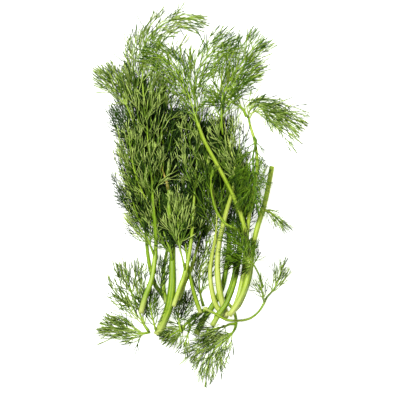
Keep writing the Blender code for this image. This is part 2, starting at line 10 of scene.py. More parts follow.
import bmesh
import bpy
import numpy as np
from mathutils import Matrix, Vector


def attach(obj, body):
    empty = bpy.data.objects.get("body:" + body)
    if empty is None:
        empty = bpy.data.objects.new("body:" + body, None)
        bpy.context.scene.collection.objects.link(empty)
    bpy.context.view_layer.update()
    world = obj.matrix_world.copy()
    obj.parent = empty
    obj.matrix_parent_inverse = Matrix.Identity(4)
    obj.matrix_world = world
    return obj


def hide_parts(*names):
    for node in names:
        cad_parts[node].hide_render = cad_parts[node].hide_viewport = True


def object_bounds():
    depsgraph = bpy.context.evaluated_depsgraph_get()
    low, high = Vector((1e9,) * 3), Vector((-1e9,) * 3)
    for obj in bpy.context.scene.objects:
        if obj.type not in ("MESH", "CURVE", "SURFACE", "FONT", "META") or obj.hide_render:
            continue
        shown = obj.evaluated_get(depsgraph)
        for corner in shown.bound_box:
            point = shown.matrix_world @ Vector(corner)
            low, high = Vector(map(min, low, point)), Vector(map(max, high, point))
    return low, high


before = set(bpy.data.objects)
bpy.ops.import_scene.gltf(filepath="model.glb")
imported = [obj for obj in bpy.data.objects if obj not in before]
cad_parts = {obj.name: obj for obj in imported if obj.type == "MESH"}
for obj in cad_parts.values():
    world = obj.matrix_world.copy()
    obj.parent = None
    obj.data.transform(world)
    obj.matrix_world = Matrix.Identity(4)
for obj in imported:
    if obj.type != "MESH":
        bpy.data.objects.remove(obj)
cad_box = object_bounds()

MM = 0.001
SEED = 5
MIDDLE = np.array([-0.6615, -0.6108])  # the bunch's own middle, from the middle of the routes

PALE = "stem_pale"
GREEN = "stem_green"
LEAF = "frond_green"
BRIGHT = "frond_bright"

# A stalk has a radius at its foot and at its top, and a route from its foot.
Stalk = namedtuple("Stalk", "name finish foot top route")

# A frond has the half width of its leafy part, a bare route that leads to that part, and the leafy
# route. With no bare route it goes on from the end of its stalk.
Frond = namedtuple("Frond", "name finish half bare route")

# Each leafy stem with its fronds, in the order they are laid down. Routes are seen from above.
LAID = [
    (
        Stalk("stalk_broad", GREEN, 2.1, 1.3,
            [(-2, -91), (3, -81), (9, -72), (15, -61), (18, -49), (20, -35), (20, -22), (18, -8)],
        ),
        [
            Frond("frond_broad", LEAF, 14, None, [(18, -8), (16, 8), (14, 24), (11, 40), (9, 58)]),
        ],
    ),
    (
        None,
        [
            Frond("frond_deep_low", LEAF, 9,
                [(3, -72), (1, -64)],
                [(1, -64), (0, -54), (2, -43), (5, -30), (5, -16)],
            ),
        ],
    ),
    (
        Stalk("stalk_deep_left", GREEN, 1.5, 1.1,
            [(-21, -71), (-25, -64), (-30, -57), (-33, -47), (-35, -35), (-36, -22)],
        ),
        [
            Frond("frond_deep_left", LEAF, 13,
                None,
                [(-36, -22), (-38, -5), (-40, 13), (-42, 30), (-43, 50)],
            ),
        ],
    ),
    (
        Stalk("stalk_deep_middle", GREEN, 1.6, 1.1,
            [(-22, -70), (-24, -60), (-24, -48), (-22, -36)],
        ),
        [
            Frond("frond_deep_middle", LEAF, 15,
                None,
                [(-22, -36), (-18, -18), (-15, 3), (-13, 24), (-11, 46), (-11, 66)],
            ),
        ],
    ),
    (
        Stalk("stalk_deep_right", GREEN, 1.6, 1.1,
            [(11, -80), (16, -72), (20, -63), (23, -53), (25, -42), (27, -30)],
        ),
        [
            Frond("frond_deep_right", LEAF, 11,
                None,
                [(27, -30), (26, -13), (23, 5), (21, 22), (19, 40)],
            ),
        ],
    ),
    (
        Stalk("stalk_thick", GREEN, 3, 1.4,
            [
                (-28, -91), (-24, -82), (-20, -71), (-18, -57), (-18, -42), (-18, -26), (-20, -8),
                (-21, 9),
            ],
        ),
        [
            Frond("frond_thick", LEAF, 15,
                None,
                [(-21, 9), (-25, 22), (-26, 37), (-24, 54), (-21, 70), (-17, 84)],
            ),
        ],
    ),
    (
        None,
        [
            Frond("spray_left", LEAF, 9,
                [(-33, -89), (-37, -90)],
                [(-37, -90), (-43, -90), (-52, -88), (-62, -85), (-72, -82)],
            ),
            Frond("spray_left_up", LEAF, 10,
                [(-34, -88), (-37, -84)],
                [(-37, -84), (-41, -74), (-46, -62), (-49, -50), (-51, -37)],
            ),
        ],
    ),
    (
        Stalk("stalk_trailing", GREEN, 1.1, 0.9, [(18, -68), (23, -74), (25, -81), (24, -88)]),
        [
            Frond("frond_trailing", LEAF, 14,
                None,
                [(24, -88), (18, -95), (11, -101), (7, -109), (5, -119), (4, -132)],
            ),
            Frond("spray_trailing", LEAF, 5,
                [(26, -84), (21, -84)],
                [(21, -84), (16, -86), (7, -88), (0, -90)],
            ),
        ],
    ),
    (
        Stalk("stalk_crossing", GREEN, 1.5, 1.2, [(6, -73), (1, -76), (-3, -79), (-7, -82)]),
        [
            Frond("spray_crossing", LEAF, 8.5, None,
                [(-7, -82), (-11, -86), (-17, -90), (-28, -95)],
            ),
            Frond("spray_crossing_low", LEAF, 7,
                [(-5, -84), (-7, -89)],
                [(-7, -89), (-9, -96), (-12, -104)],
            ),
        ],
    ),
    (
        None,
        [
            Frond("spray_clump", LEAF, 8,
                [(-29, -89), (-30, -84)],
                [(-30, -84), (-32, -76), (-33, -67), (-32, -56)],
            ),
            Frond("spray_clump_right", LEAF, 6,
                [(-12, -89), (-13, -85)],
                [(-13, -85), (-14, -78), (-13, -70), (-11, -61)],
            ),
            Frond("frond_top_left", LEAF, 13,
                [(-36, 20), (-39, 34), (-42, 47)],
                [(-42, 47), (-45, 60), (-46, 72), (-46, 84), (-43, 97)],
            ),
            Frond("frond_upper", LEAF, 13,
                [(-24, 38), (-26, 50)],
                [(-26, 50), (-29, 64), (-31, 78), (-29, 92)],
            ),
            Frond("frond_hook", LEAF, 9,
                [(-39, 40), (-45, 55), (-49, 64)],
                [(-49, 64), (-54, 74), (-62, 84), (-72, 91)],
            ),
            Frond("frond_crest", LEAF, 11,
                [(-33, 34), (-36, 57), (-38, 78), (-38, 93)],
                [(-38, 93), (-37, 105), (-31, 114), (-21, 121), (-8, 123), (9, 118)],
            ),
        ],
    ),
    (
        Stalk("stalk_left", GREEN, 1.9, 1.2,
            [(-39, -76), (-36, -65), (-32, -54), (-30, -42), (-29, -27), (-30, -11), (-31, 1)],
        ),
        [
            Frond("frond_left", LEAF, 14, None,
                [(-31, 1), (-32, 18), (-34, 35), (-35, 53), (-34, 72)],
            ),
            Frond("frond_left_edge", LEAF, 12,
                [(-30, -14), (-33, -5)],
                [(-33, -5), (-38, 5), (-43, 18), (-46, 34), (-48, 52)],
            ),
            Frond("frond_left_low", LEAF, 9,
                [(-30, -38), (-33, -30)],
                [(-33, -30), (-37, -20), (-42, -9), (-46, 4)],
            ),
        ],
    ),
    (
        None,
        [
            Frond("frond_thick_low", LEAF, 12,
                [(-18, -42), (-19, -35)],
                [(-19, -35), (-23, -24), (-26, -10), (-27, 6)],
            ),
        ],
    ),
    (
        Stalk("stalk_slender", GREEN, 1.3, 0.9,
            [(-14, -67), (-10, -57), (-6, -48), (-3, -39), (-1, -31)],
        ),
        [
            Frond("frond_slender", LEAF, 12, None, [(-1, -31), (3, -17), (5, -2), (6, 14)]),
        ],
    ),
    (
        Stalk("stalk_inner", GREEN, 1.5, 1, [(1, -76), (-2, -67), (-5, -56), (-7, -46), (-8, -38)]),
        [
            Frond("frond_inner", LEAF, 12, None, [(-8, -38), (-10, -22), (-11, -4), (-10, 16)]),
        ],
    ),
    (
        Stalk("stalk_middle", GREEN, 1.5, 1,
            [(-17, -71), (-14, -62), (-10, -51), (-7, -39), (-5, -25), (-4, -10), (-3, 4)],
        ),
        [
            Frond("frond_middle", LEAF, 15, None, [(-3, 4), (-2, 18), (-1, 34), (0, 50), (0, 66)]),
            Frond("frond_middle_side", LEAF, 9,
                [(-9, -48), (-11, -39), (-13, -31)],
                [(-13, -31), (-14, -19), (-14, -6), (-13, 8)],
            ),
        ],
    ),
    (
        Stalk("stalk_pale_slim", PALE, 1.8, 1.1,
            [(19, -80), (15, -76), (11, -70), (8.5, -60), (7.5, -49), (9, -37), (11, -26)],
        ),
        [
            Frond("frond_pale_slim", LEAF, 13, None,
                [(11, -26), (12, -10), (9, 8), (6, 26), (5, 44)],
            ),
        ],
    ),
    (
        Stalk("stalk_pale_broad", PALE, 2.1, 1.3,
            [
                (19, -78), (16, -70), (13.5, -59), (12.5, -47), (13, -34), (15.5, -20), (19, -6),
                (23, 8),
            ],
        ),
        [
            Frond("frond_pale_broad", LEAF, 13,
                None,
                [(23, 8), (24, 22), (21, 35), (18, 48), (15, 62)],
            ),
        ],
    ),
    (
        Stalk("stalk_cut", GREEN, 1.9, 1.7,
            [
                (21, -76), (27, -70), (31, -61), (34, -52), (35.5, -41), (37, -29), (40, -17),
                (44, -4), (47, 9), (49.5, 23),
            ],
        ),
        [
            Frond("spray_cut", LEAF, 6,
                [(43, -7), (45, -7)],
                [(45, -7), (49, -9), (54, -14), (60, -20)],
            ),
        ],
    ),
    (
        Stalk("stalk_green_slim", GREEN, 1.8, 1.1,
            [(9, -84), (13, -77), (18, -70), (22, -61), (25, -51), (27, -41), (29, -30), (30, -17)],
        ),
        [
            Frond("frond_green_slim", LEAF, 11,
                None,
                [(30, -17), (32, -3), (33, 10), (32, 22), (32, 34)],
            ),
        ],
    ),
    (
        None,
        [
            Frond("frond_top_right_low", BRIGHT, 10,
                [(14, 47), (16, 58), (17, 67)],
                [(17, 67), (21, 77), (28, 86), (36, 91), (46, 92)],
            ),
            Frond("frond_top_middle", BRIGHT, 11,
                [(2, 40), (-1, 56), (-3, 69)],
                [(-3, 69), (-2, 82), (3, 94), (11, 102), (20, 107), (31, 111)],
            ),
        ],
    ),
    (
        Stalk("stalk_arching", GREEN, 1.6, 0.9,
            [
                (21, -76), (25, -68), (28, -58), (30, -48), (31, -38), (32, -27), (34, -10),
                (37, 7), (39, 24), (37.5, 39), (34, 52),
            ],
        ),
        [
            Frond("frond_arching", LEAF, 15,
                None,
                [(34, 52), (34, 60), (40, 64), (50, 61), (61, 54), (73, 46)],
            ),
            Frond("frond_arching_left", BRIGHT, 11,
                [(32, 56), (29, 62)],
                [(29, 62), (22, 66), (12, 69), (0, 70)],
            ),
        ],
    ),
    (
        None,
        [
            Frond("frond_top_right", BRIGHT, 13,
                [(16, 44), (15, 58), (16, 70)],
                [(16, 70), (22, 83), (30, 94), (38, 104), (49, 112)],
            ),
            Frond("frond_hanging", BRIGHT, 9,
                [(38, 42), (38, 38)],
                [(38, 38), (36, 28), (37, 15), (38, 1), (41, -16)],
            ),
        ],
    ),
    (
        Stalk("stalk_long", GREEN, 1.8, 1.1,
            [
                (20, -77), (25, -70), (30, -60), (33, -48), (33, -34), (31, -21), (27, -7), (21, 7),
                (12, 24), (4, 39), (-1, 52),
            ],
        ),
        [
            Frond("frond_long", BRIGHT, 10,
                None,
                [(-1, 52), (-5, 65), (-9, 76), (-14, 86), (-21, 94), (-31, 99), (-43, 99)],
            ),
        ],
    ),
    (
        Stalk("stalk_thin", GREEN, 0.9, 0.8, [(32, -24), (26, -20), (18, -16), (12, -8), (9, 2)]),
        [
            Frond("spray_thin", BRIGHT, 7, None, [(9, 2), (8, 12), (10, 25)]),
            Frond("spray_front", BRIGHT, 11,
                [(43, -59), (41, -52), (37, -44), (33, -39)],
                [(33, -39), (28, -34), (21, -31), (12, -28)],
            ),
        ],
    ),
    (
        Stalk("stalk_loop", GREEN, 0.9, 0.7,
            [(3, -72), (11, -76), (18, -80), (26, -81), (34, -80), (40, -76), (44, -70), (46, -66)],
        ),
        [
            Frond("spray_loop", LEAF, 7, None, [(46, -66), (51, -60), (55, -51), (57, -39)]),
            Frond("spray_loop_back", LEAF, 5.5,
                [(43, -68), (43, -64)],
                [(43, -64), (42, -61), (40, -57), (39, -52)],
            ),
        ],
    ),
]

# Growth: threads stand in sprigs, sprigs along ribs, and ribs along a frond's rachis
SPRIG = 12.0  # length of a sprig's main thread
THREAD = 0.29  # radius of a thread at its foot
DEEP_THREAD = 0.62  # the same where leaves lie deep, painted dark as shade, and only have to close the gaps
FORK_GIRTH = 0.86  # girth of the side threads of a sprig
SPRIG_STEP = 13.0  # length of rib between one sprig and the next on the same side
AIRY_STEP = 12.0  # the same on airy fronds, curly ones, and ribs that lie deep
CURLY_STEP = 3.2
DEEP_STEP = 2.8
SPRIG_ANGLES = (36, 24)  # degrees between a sprig and its rib, at the rib's foot and tip
END_ANGLES = (0, 14, 12)  # the same for the sprigs that end a rib
OVER_SHARE = 0.45  # share of sprigs that stand over the others, paler with painted light
OVER_PITCH = 8  # degrees that these point upward
PITCH_SPREAD = 7  # how unlike the sprigs are in pitch and roll, in degrees, and in tint
ROLL_SPREAD = 12
TINT_SPREAD = 0.07
UNDER_SHADE_TINT = -0.02  # how much paler the other sprigs are than their leaf (here a little darker, as painted shade), and how long
UNDER_LENGTH = 0.92
PAST_BOX = 0.8  # how far the tips of sprigs may reach past the frame's box

# Ribs
RIB = 0.36  # radius of a rib at its foot
RIB_TIP = 0.25
RIB_TINT = 0.4  # how much paler a rib is than its leaf
RIB_PLACES = 10  # places along a rib's line
RIB_RISE = 5.0  # the length over which a rib comes to its own height
RIB_LIFTS = (-0.2, 1.2)  # how far over what lies under it
FORK_LIFTS = (-0.6, 0.6)  # how far over the rib that it forks from
RIB_FORK_GIRTH = 0.85
RIB_FORK_SPRIGS = 0.92  # how long a fork's sprigs are beside those of its rib
SHORTEST_FORK = 5.0
FIRST_SPRIG = 0.25  # how far up a rib its first sprig stands, as a share of its length
DEEP_FIRST_SPRIG = 0.1
NEAR_TIP = 0.5  # this near the end of a rib stand the sprigs that end it
PINNA_ANGLES = (38, 22)  # degrees between a rib and the rachis, at the frond's foot and tip
SHORTEST_RIB = 4.0
WIDE_FROND = 8.0  # fronds of a greater half width have fewer ribs, and a fan of long ones
HUB = ((16, 0.75), (34, 0.5))  # the fan's ribs: angles, and shares of the frond's leafy length
HUB_FORKS = (0.3, 0.5)
SIDE_STEM_ANGLES = (34, 12)
SIDE_STEM_PAIRS = 4

# Rachises
RACHIS = 0.7  # radius of a rachis at its foot
RACHIS_TIP = 0.4
RACHIS_SHORT = 5.0  # how far from the frond's end its rachis stops
FLARE = 9.0  # the length over which its foot narrows
LEAFLESS = 5.0  # how far up a frond that goes on from its stalk has no ribs
PETIOLE = 1.1  # radius of a bare leaf stem at its foot

# The length over which a rachis comes from its stalk's height to its own
SETTLING = 8.0
BRANCH_SETTLING = 7.0
AGED_SETTLING = 24.0

# Leaves that lie deep under others, painted dark as shade
BURIED = 2.2  # how deep a rib lies before it counts as covered
ALWAYS = -9.0  # a depth that makes every rib count as covered
NEVER = 99.0  # and one that makes none count as covered
SHOWING = 1.2  # deep sprigs with less than this over their tips still show
PAINTED_SHADE_TINT = 0.12  # painted shade: the dark tints of deep sprigs and of deep ribs
PAINTED_SHADE_RIB_TINT = 0.2
SHOWING_TINT = -0.06  # what those gain in tint, besides that of their leaf
AIRY_SHADE = 0.4  # how much of the painted shade is put on an airy frond
SHADE = ((0.3, 1.0, 1.8, 3.0), (1.0, 0.62, 0.25, 0.05))  # depths, and how light the leaves are there under painted shade

# How often each kind of sprig grows, from a lone thread to a full one
AIRY = (6, 6, 5, 3, 1, 0)
CLOSE = (3, 5, 5, 4, 3, 2)

# How a frond is leaved: the tint of its sprigs, how much paler those over the others are with
# painted light, and how much paler their tips; how far apart they stand, where its ribs fork, how
# long its sprigs are, whether it is airy, and how deep its ribs lie before they count as covered
# and are painted dark as shade
Look = namedtuple("Look", "tint over tip step forks size airy buried")
CLOSE_LOOK = Look(0.24, 0.66, 0.0, SPRIG_STEP, (0.3,), 1.0, False, BURIED)
AIRY_LOOK = Look(0.47, 0.34, -0.08, AIRY_STEP, (0.3,), 1.3, True, NEVER)
BRIGHT_TINT = 0.42
EDGE_OVER = 0.5  # how much paler with painted light the upper sprigs are on fronds that are leafy from low down

# Girths of sprigs that stand over the others, and of the others
AIRY_GIRTHS = (1.08, 0.95)
CLOSE_GIRTHS = (1.05, 0.85)

# How much a frond narrows to its tip, where that isn't NARROWING
NARROWING = 0.56
NARROWINGS = {
    "frond_trailing": 0.92,
    "spray_loop": 0.8,
    "frond_crest": 0.66,
    "spray_left": 0.86,
    "spray_left_up": 0.66,
    "spray_cut": 0.7,
    "frond_top_right": 0.4,
    "frond_long": 0.35,
}

# Fronds that are airy besides the bright ones and the sprays
AIRY_FRONDS = ("frond_pale_slim", "frond_crest", "frond_hook", "frond_trailing", "frond_arching")

# Fronds whose leaf stem is leafy from low down
LEAFY_FOOT = (
    "frond_top_right",
    "frond_top_middle",
    "frond_top_right_low",
    "frond_upper",
    "frond_top_left",
    "frond_crest",
)
LEAFY_FROM = 0.35  # share of the bare leaf stem that stays bare
SUNK_FOOT = 3.0  # how far their foot is sunk among the leaves

# Fronds that lie under all others: dense, and painted dark as shade
UNDER = ("frond_broad", "frond_deep_right", "frond_deep_middle", "frond_deep_left")

# Airy fronds that lie over others, with darker leaves
DARKER = ("frond_pale_slim", "spray_thin", "spray_clump", "spray_clump_right")

# Curly fronds, and how far they stand over what lies under them
CURLY = {"frond_hanging": 0.5, "spray_front": 2.4}

# Fronds whose rachis is as green as their leaves, and its tint
GREEN_RACHIS = {"frond_hanging": 0.45}

# The frond with an aged, brownish rachis
AGED = "frond_thick"

# Fronds with unlike sides: shares of a rib's length on the right and left of the way they grow
ONE_SIDED = {
    "frond_hanging": (1.1, 0.5),
    "frond_arching": (1.2, 1.3),
    "frond_trailing": (0.8, 0.6),
    "spray_front": (0.8, 1.1),
}

# Small leafy stems beside a frond that come with it, with half their width
SIDE_STEMS = {
    "spray_front": (
        ([(31, -37), (28, -29), (23, -23), (18, -20)], 7),
        ([(29, -38), (24, -38), (19, -36)], 6),
    ),
    "frond_trailing": (
        ([(20, -93), (12, -96), (3, -99), (-7, -106)], 7),
        ([(22, -90), (15, -92), (6, -94)], 5),
    ),
    "spray_clump": (
        ([(-25, -66), (-26, -58), (-25, -50), (-23, -40)], 5),
    ),
    "spray_clump_right": (
        ([(-15, -84), (-12, -78), (-9, -72), (-7, -64)], 6),
        ([(-12, -88), (-6, -85), (0, -81)], 5),
    ),
}

# How thickly a frond is leaved, where that isn't 1
THICKNESS = {
    "frond_pale_slim": 0.3,
    "frond_crest": 0.65,
    "frond_hook": 0.5,
    "frond_deep_low": 0.6,
    "frond_deep_middle": 1.7,
    "frond_broad": 1.6,
    "frond_deep_right": 1.3,
    "frond_arching": 1.1,
    "frond_arching_left": 1.9,
    "frond_top_right": 1.5,
    "frond_top_right_low": 1.6,
    "frond_top_middle": 1.6,
    "frond_long": 1.7,
    "frond_hanging": 1.8,
    "frond_trailing": 0.8,
    "spray_clump": 2.2,
    "spray_clump_right": 2.0,
    "spray_left": 0.5,
    "spray_left_up": 0.55,
    "spray_trailing": 0.8,
    "spray_crossing": 0.8,
    "spray_crossing_low": 0.7,
    "spray_cut": 0.8,
    "spray_loop": 1.0,
    "spray_loop_back": 0.55,
    "spray_thin": 0.7,
    "spray_front": 7.0,
}

# Stalks
STALK_SIDES = 20
RACHIS_SIDES = 8
BRANCH_REACH = 3.5  # a leaf stem that starts this near a stalk grows from it
BRANCH_SWELL = 0.16  # how much thicker a stalk is where a frond branches off
SWELL_REACH = 3.0  # how far this reaches along the stalk
TAPER_FROM = 0.22  # share of a stalk's length below which it keeps its full girth

# Stalks whose upper part lies over the leaves, how much of it, and their radius at the top
SHOWN = {"stalk_thick": 32.0, "stalk_left": 44.0, "stalk_middle": 44.0, "stalk_inner": 14.0}
SHOWN_TOP = 0.8

# Stalks fresher or deeper in colour than the rest
FRESH_STALKS = ("stalk_cut", "stalk_long", "stalk_arching", "stalk_middle", "stalk_slender")
DEEP_STALKS = (
    "stalk_green_slim",
    "stalk_deep_right",
    "stalk_broad",
    "stalk_deep_left",
    "stalk_crossing",
)

# Room under and over the bunch
FLOOR_CLEAR = 0.15
TOP_CLEAR = 0.1

# The camera hangs straight over the bunch
CAMERA_ASIDE = 0.675
CAMERA_HEIGHT = 1018.5

# Colours from the darkest to the palest, and their places on a ramp
STEM_PLACES = (0.30, 0.50, 0.70)
GREEN_STEM = ((0.060, 0.140, 0.001), (0.160, 0.285, 0.005), (0.420, 0.530, 0.060))
PALE_STEM = ((0.180, 0.270, 0.010), (0.370, 0.460, 0.055), (0.600, 0.640, 0.200))
FRESH_STEM = ((0.120, 0.230, 0.004), (0.270, 0.390, 0.018), (0.520, 0.600, 0.110))
DEEP_STEM = ((0.048, 0.118, 0.001), (0.135, 0.255, 0.003), (0.340, 0.460, 0.025))
AGED_STEM = ((0.160, 0.140, 0.010), (0.340, 0.280, 0.040), (0.520, 0.440, 0.120))
LEAF_PLACES = (0.0, 0.3, 0.6, 1.0)
GREEN_LEAF = (
    (0.004, 0.012, 0.002), (0.030, 0.078, 0.007), (0.110, 0.205, 0.012), (0.470, 0.610, 0.165),
)
BRIGHT_LEAF = (
    (0.008, 0.024, 0.002), (0.040, 0.110, 0.006), (0.125, 0.245, 0.008), (0.420, 0.570, 0.110),
)

BUMP = 0.2  # depth of the finest ridges

# The range of a piece's second mark that leaves, rachis and stalks use
LEAF_MARKS = 0.68
RACHIS_MARKS = (0.72, 0.97)
STALK_MARKS = (0.0, 0.94)  # a stalk's cut ends come past these

# Lines have a place every STEP, and curves this many between one route point and the next
STEP = 1.0
CURVE_STEPS = 16
WAY_REACH = 1.5  # how far to both sides of a place a rib looks for its parent's way

# The grids that the frame's heights are spread on, and how far they reach past its pieces
CELL = 1.0
SPOTS = 9  # places along a triangle's side that a grid takes heights from
CANOPY_MARGIN = 8
CANOPY_EDGE = 4  # how far in from the canopy's edge light comes
LIE_MARGIN = 16
LIE_REACHES = (1, 2, 4, 8, 14)  # how far round an empty cell its height is looked for, in turn

Shape = namedtuple("Shape", "places faces")
Sprigs = namedtuple("Sprigs", "at heading pitch roll size girth marks")


# Modelling by hand: each shape is made once, straight along +X


def put_down_everything():
    if bpy.context.mode != "OBJECT":
        bpy.ops.object.mode_set(mode="OBJECT")
    bpy.ops.object.select_all(action="DESELECT")


def stand_ring(name, sides, radius):
    """A filled ring standing across +X, open for shaping."""
    put_down_everything()
    bpy.ops.mesh.primitive_circle_add(
        vertices=sides, radius=radius, fill_type="NGON", rotation=(0, math.radians(90), 0)
    )
    ring = bpy.context.object
    ring.name = name
    bpy.ops.object.transform_apply(location=True, rotation=True, scale=True)
    bpy.ops.object.mode_set(mode="EDIT")
    bpy.ops.mesh.select_all(action="SELECT")
    return ring


def draw_on(step, narrow=1.0):
    """Extrudes the selected end by a step and narrows it about its own middle."""
    bpy.ops.mesh.extrude_region_move(TRANSFORM_OT_translate={"value": step})
    if narrow != 1.0:
        bm = bmesh.from_edit_mesh(bpy.context.object.data)
        ends = [v.co for v in bm.verts if v.select]
        middle = sum(ends, Vector()) / len(ends)
        bpy.ops.transform.resize(value=(1.0, narrow, narrow), center_override=middle)


def draw_to_point(step):
    bpy.ops.mesh.extrude_region_move(TRANSFORM_OT_translate={"value": step})
    bpy.ops.mesh.merge(type="CENTER")


def close_shape():
    """Turns all faces outward, cuts them to triangles and leaves edit mode."""
    bpy.ops.mesh.select_all(action="SELECT")
    bpy.ops.mesh.remove_doubles(threshold=0.0000005)
    bpy.ops.mesh.normals_make_consistent(inside=False)
    bpy.ops.mesh.quads_convert_to_tris()
    bpy.ops.object.mode_set(mode="OBJECT")


def model_thread(name, length, radius, bow, rings):
    """A slim three-sided thread that narrows to a point and bows to one side.

    Each ring is given by its share of the length, and how much narrower it is than the last.
    """
    thread = stand_ring(name, 3, radius * MM)
    before = 0.0
    for share, narrow in rings:
        aside = bow * (share**2 - before**2)
        draw_on(((share - before) * length * MM, aside * MM, 0.0), narrow)
        before = share
    draw_to_point(((1.0 - before) * length * MM, bow * (1 - before**2) * MM, 0.0))
    close_shape()
    return thread


def model_sprig(name, bow, forks, radius):
    """A main thread with side threads forking off it, joined to one object.

    Each fork is given by where it starts, its side, its length, and its angles aside and upward.
    """
    main = model_thread(name, SPRIG, radius, bow, ((0.4, 0.97), (0.82, 0.86)))
    forked = []
    for share, hand, length, spread, lift in forks:
        fork_bow = -0.14 * hand * length
        fork = model_thread(name + "_fork", length, radius * FORK_GIRTH, fork_bow, ((0.72, 0.88),))
        fork.rotation_euler = (0.0, math.radians(-lift), hand * math.radians(spread))
        fork.location = (share * SPRIG * MM, bow * share**2 * MM, 0.0)
        forked.append(fork)
    put_down_everything()
    for part in forked + [main]:
        part.select_set(True)
    bpy.context.view_layer.objects.active = main
    bpy.ops.object.transform_apply(location=True, rotation=True, scale=True)
    bpy.ops.object.join()
    return main


def select_faces_across(pick_x):
    """Selects the faces that stand across +X at a place."""
    bm = bmesh.from_edit_mesh(bpy.context.object.data)
    for part in list(bm.verts) + list(bm.edges) + list(bm.faces):
        part.select = False
    for face in bm.faces:
        if abs(face.normal.x) > 0.9 and abs(face.calc_center_median().x - pick_x) < 1e-6:
            face.select_set(True)
    bmesh.update_edit_mesh(bpy.context.object.data)


def model_stem(name, sides, rings, groove=0.0, dished=False):
    """A straight stem one unit long and one in radius, grooved lengthwise, its foot cut off."""
    stem = stand_ring(name, sides, 1.0)
    if groove:
        bm = bmesh.from_edit_mesh(stem.data)
        for k, vert in enumerate(bm.verts):
            vert.select = k % 2 == 1
        bm.select_flush(False)
        bmesh.update_edit_mesh(stem.data)
        narrow = (1.0, 1 - groove, 1 - groove)
        bpy.ops.transform.resize(value=narrow, center_override=(0, 0, 0))
        bpy.ops.mesh.select_all(action="SELECT")
    for _ in range(rings):
        draw_on((1.0 / rings, 0.0, 0.0))
    if dished:
        bpy.context.tool_settings.mesh_select_mode = (False, False, True)
        select_faces_across(0.0)
        bpy.ops.mesh.inset(thickness=0.16)
        for _ in range(2):
            bpy.ops.mesh.inset(thickness=0.3)
            bpy.ops.transform.translate(value=(0.004, 0.0, 0.0))
        bpy.context.tool_settings.mesh_select_mode = (True, False, False)
    close_shape()
    return stem


def taken_off(obj):
    """The finished shape as places and triangles; the object itself isn't needed any more."""
    mesh = obj.data
    places = np.empty(len(mesh.vertices) * 3)
    mesh.vertices.foreach_get("co", places)
    faces = np.array([tuple(face.vertices) for face in mesh.polygons], int)
    bpy.data.objects.remove(obj, do_unlink=True)
    return Shape(places.reshape(-1, 3), faces)


# Routes and heights


def curve_through(points):
    """Catmull-Rom curve through the points, as many short steps."""
    ends = [2 * np.array(points[0], float) - np.array(points[1])]
    ends += [np.array(p, float) for p in points]
    ends += [2 * np.array(points[-1], float) - np.array(points[-2])]
    line = []
    for a, b, c, d in zip(ends, ends[1:], ends[2:], ends[3:]):
        for k in range(CURVE_STEPS):
            t = k / CURVE_STEPS
            bend = (2 * a - 5 * b + 4 * c - d) * t**2
            twist = (3 * b - a - 3 * c + d) * t**3
            line.append(0.5 * (2 * b + (c - a) * t + bend + twist))
    line.append(ends[-2])
    return np.array(line)


def run_of(line):
    """How far each place is along its line."""
    return np.concatenate([[0], np.cumsum(np.linalg.norm(np.diff(line, axis=0), axis=1))])


def length_of(line):
    return float(run_of(line)[-1])


def evenly(line):
    """The same line, with its places a step apart."""
    along = run_of(line)
    count = max(2, int(round(along[-1] / STEP)) + 1)
    return at_run(line, along, np.linspace(0, along[-1], count))


def at_run(line, along, where):
    """The places at given distances along a line."""
    where = np.asarray(where, float)
    return np.stack([np.interp(where, along, line[:, k]) for k in range(line.shape[1])], axis=-1)


def evened_out(values, reach):
    """A running mean along a line, with its ends held."""
    if reach < 1:
        return values
    padded = np.pad(values, reach, mode="edge")
    kernel = np.ones(2 * reach + 1) / (2 * reach + 1)
    return np.convolve(padded, kernel, mode="valid")


def spread_out(grid, half):
    """Each cell takes the sum over the square round it."""
    total = np.zeros_like(grid)
    for i in range(-half, half + 1):
        total += np.roll(grid, i, 0)
    wide = np.zeros_like(grid)
    for j in range(-half, half + 1):
        wide += np.roll(total, j, 1)
    return wide


def mean_round(grid, half):
    """Each cell takes the mean over the square round it."""
    return spread_out(grid, half) / (2 * half + 1) ** 2


def spots_over(node):
    """Places all over the faces of a piece of the frame."""
    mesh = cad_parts[node].data
    mesh.calc_loop_triangles()
    points = np.empty(len(mesh.vertices) * 3)
    mesh.vertices.foreach_get("co", points)
    faces = np.empty(len(mesh.loop_triangles) * 3, np.int32)
    mesh.loop_triangles.foreach_get("vertices", faces)
    corners = (points.reshape(-1, 3) / MM)[faces.reshape(-1, 3)]
    steps = np.linspace(0, 1, SPOTS)
    u, v = (part.ravel() for part in np.meshgrid(steps, steps))
    inside = u + v <= 1.0001
    u, v = u[inside], v[inside]
    spots = (
        corners[:, None, 0]
        + u[None, :, None] * (corners[:, None, 1] - corners[:, None, 0])
        + v[None, :, None] * (corners[:, None, 2] - corners[:, None, 0])
    )
    return spots.reshape(-1, 3)


def gridded(spots, margin):
    """The low corner and the size of a grid over the spots, and the cell that each spot is in."""
    low = spots[:, :2].min(axis=0) - margin
    size = np.ceil((spots[:, :2].max(axis=0) + margin - low) / CELL).astype(int) + 2
    cells = np.rint((spots[:, :2] - low) / CELL).astype(int)
    return low, size, (cells[:, 0], cells[:, 1])


def beside(grid, axis):
    """The values on either side of each cell."""
    return np.roll(grid, 1, axis), np.roll(grid, -1, axis)


def between_cells(grid, low, spots):
    """The grid's values at places seen from above."""
    place = (np.asarray(spots, float)[..., :2] - low) / CELL
    place = np.clip(place, 0, np.array(grid.shape) - 2)
    cell = np.floor(place).astype(int)
    i, j = cell[..., 0], cell[..., 1]
    u, v = np.moveaxis(place - cell, -1, 0)
    below = grid[i, j] * (1 - u) + grid[i + 1, j] * u
    above = grid[i, j + 1] * (1 - u) + grid[i + 1, j + 1] * u
    return below * (1 - v) + above * v


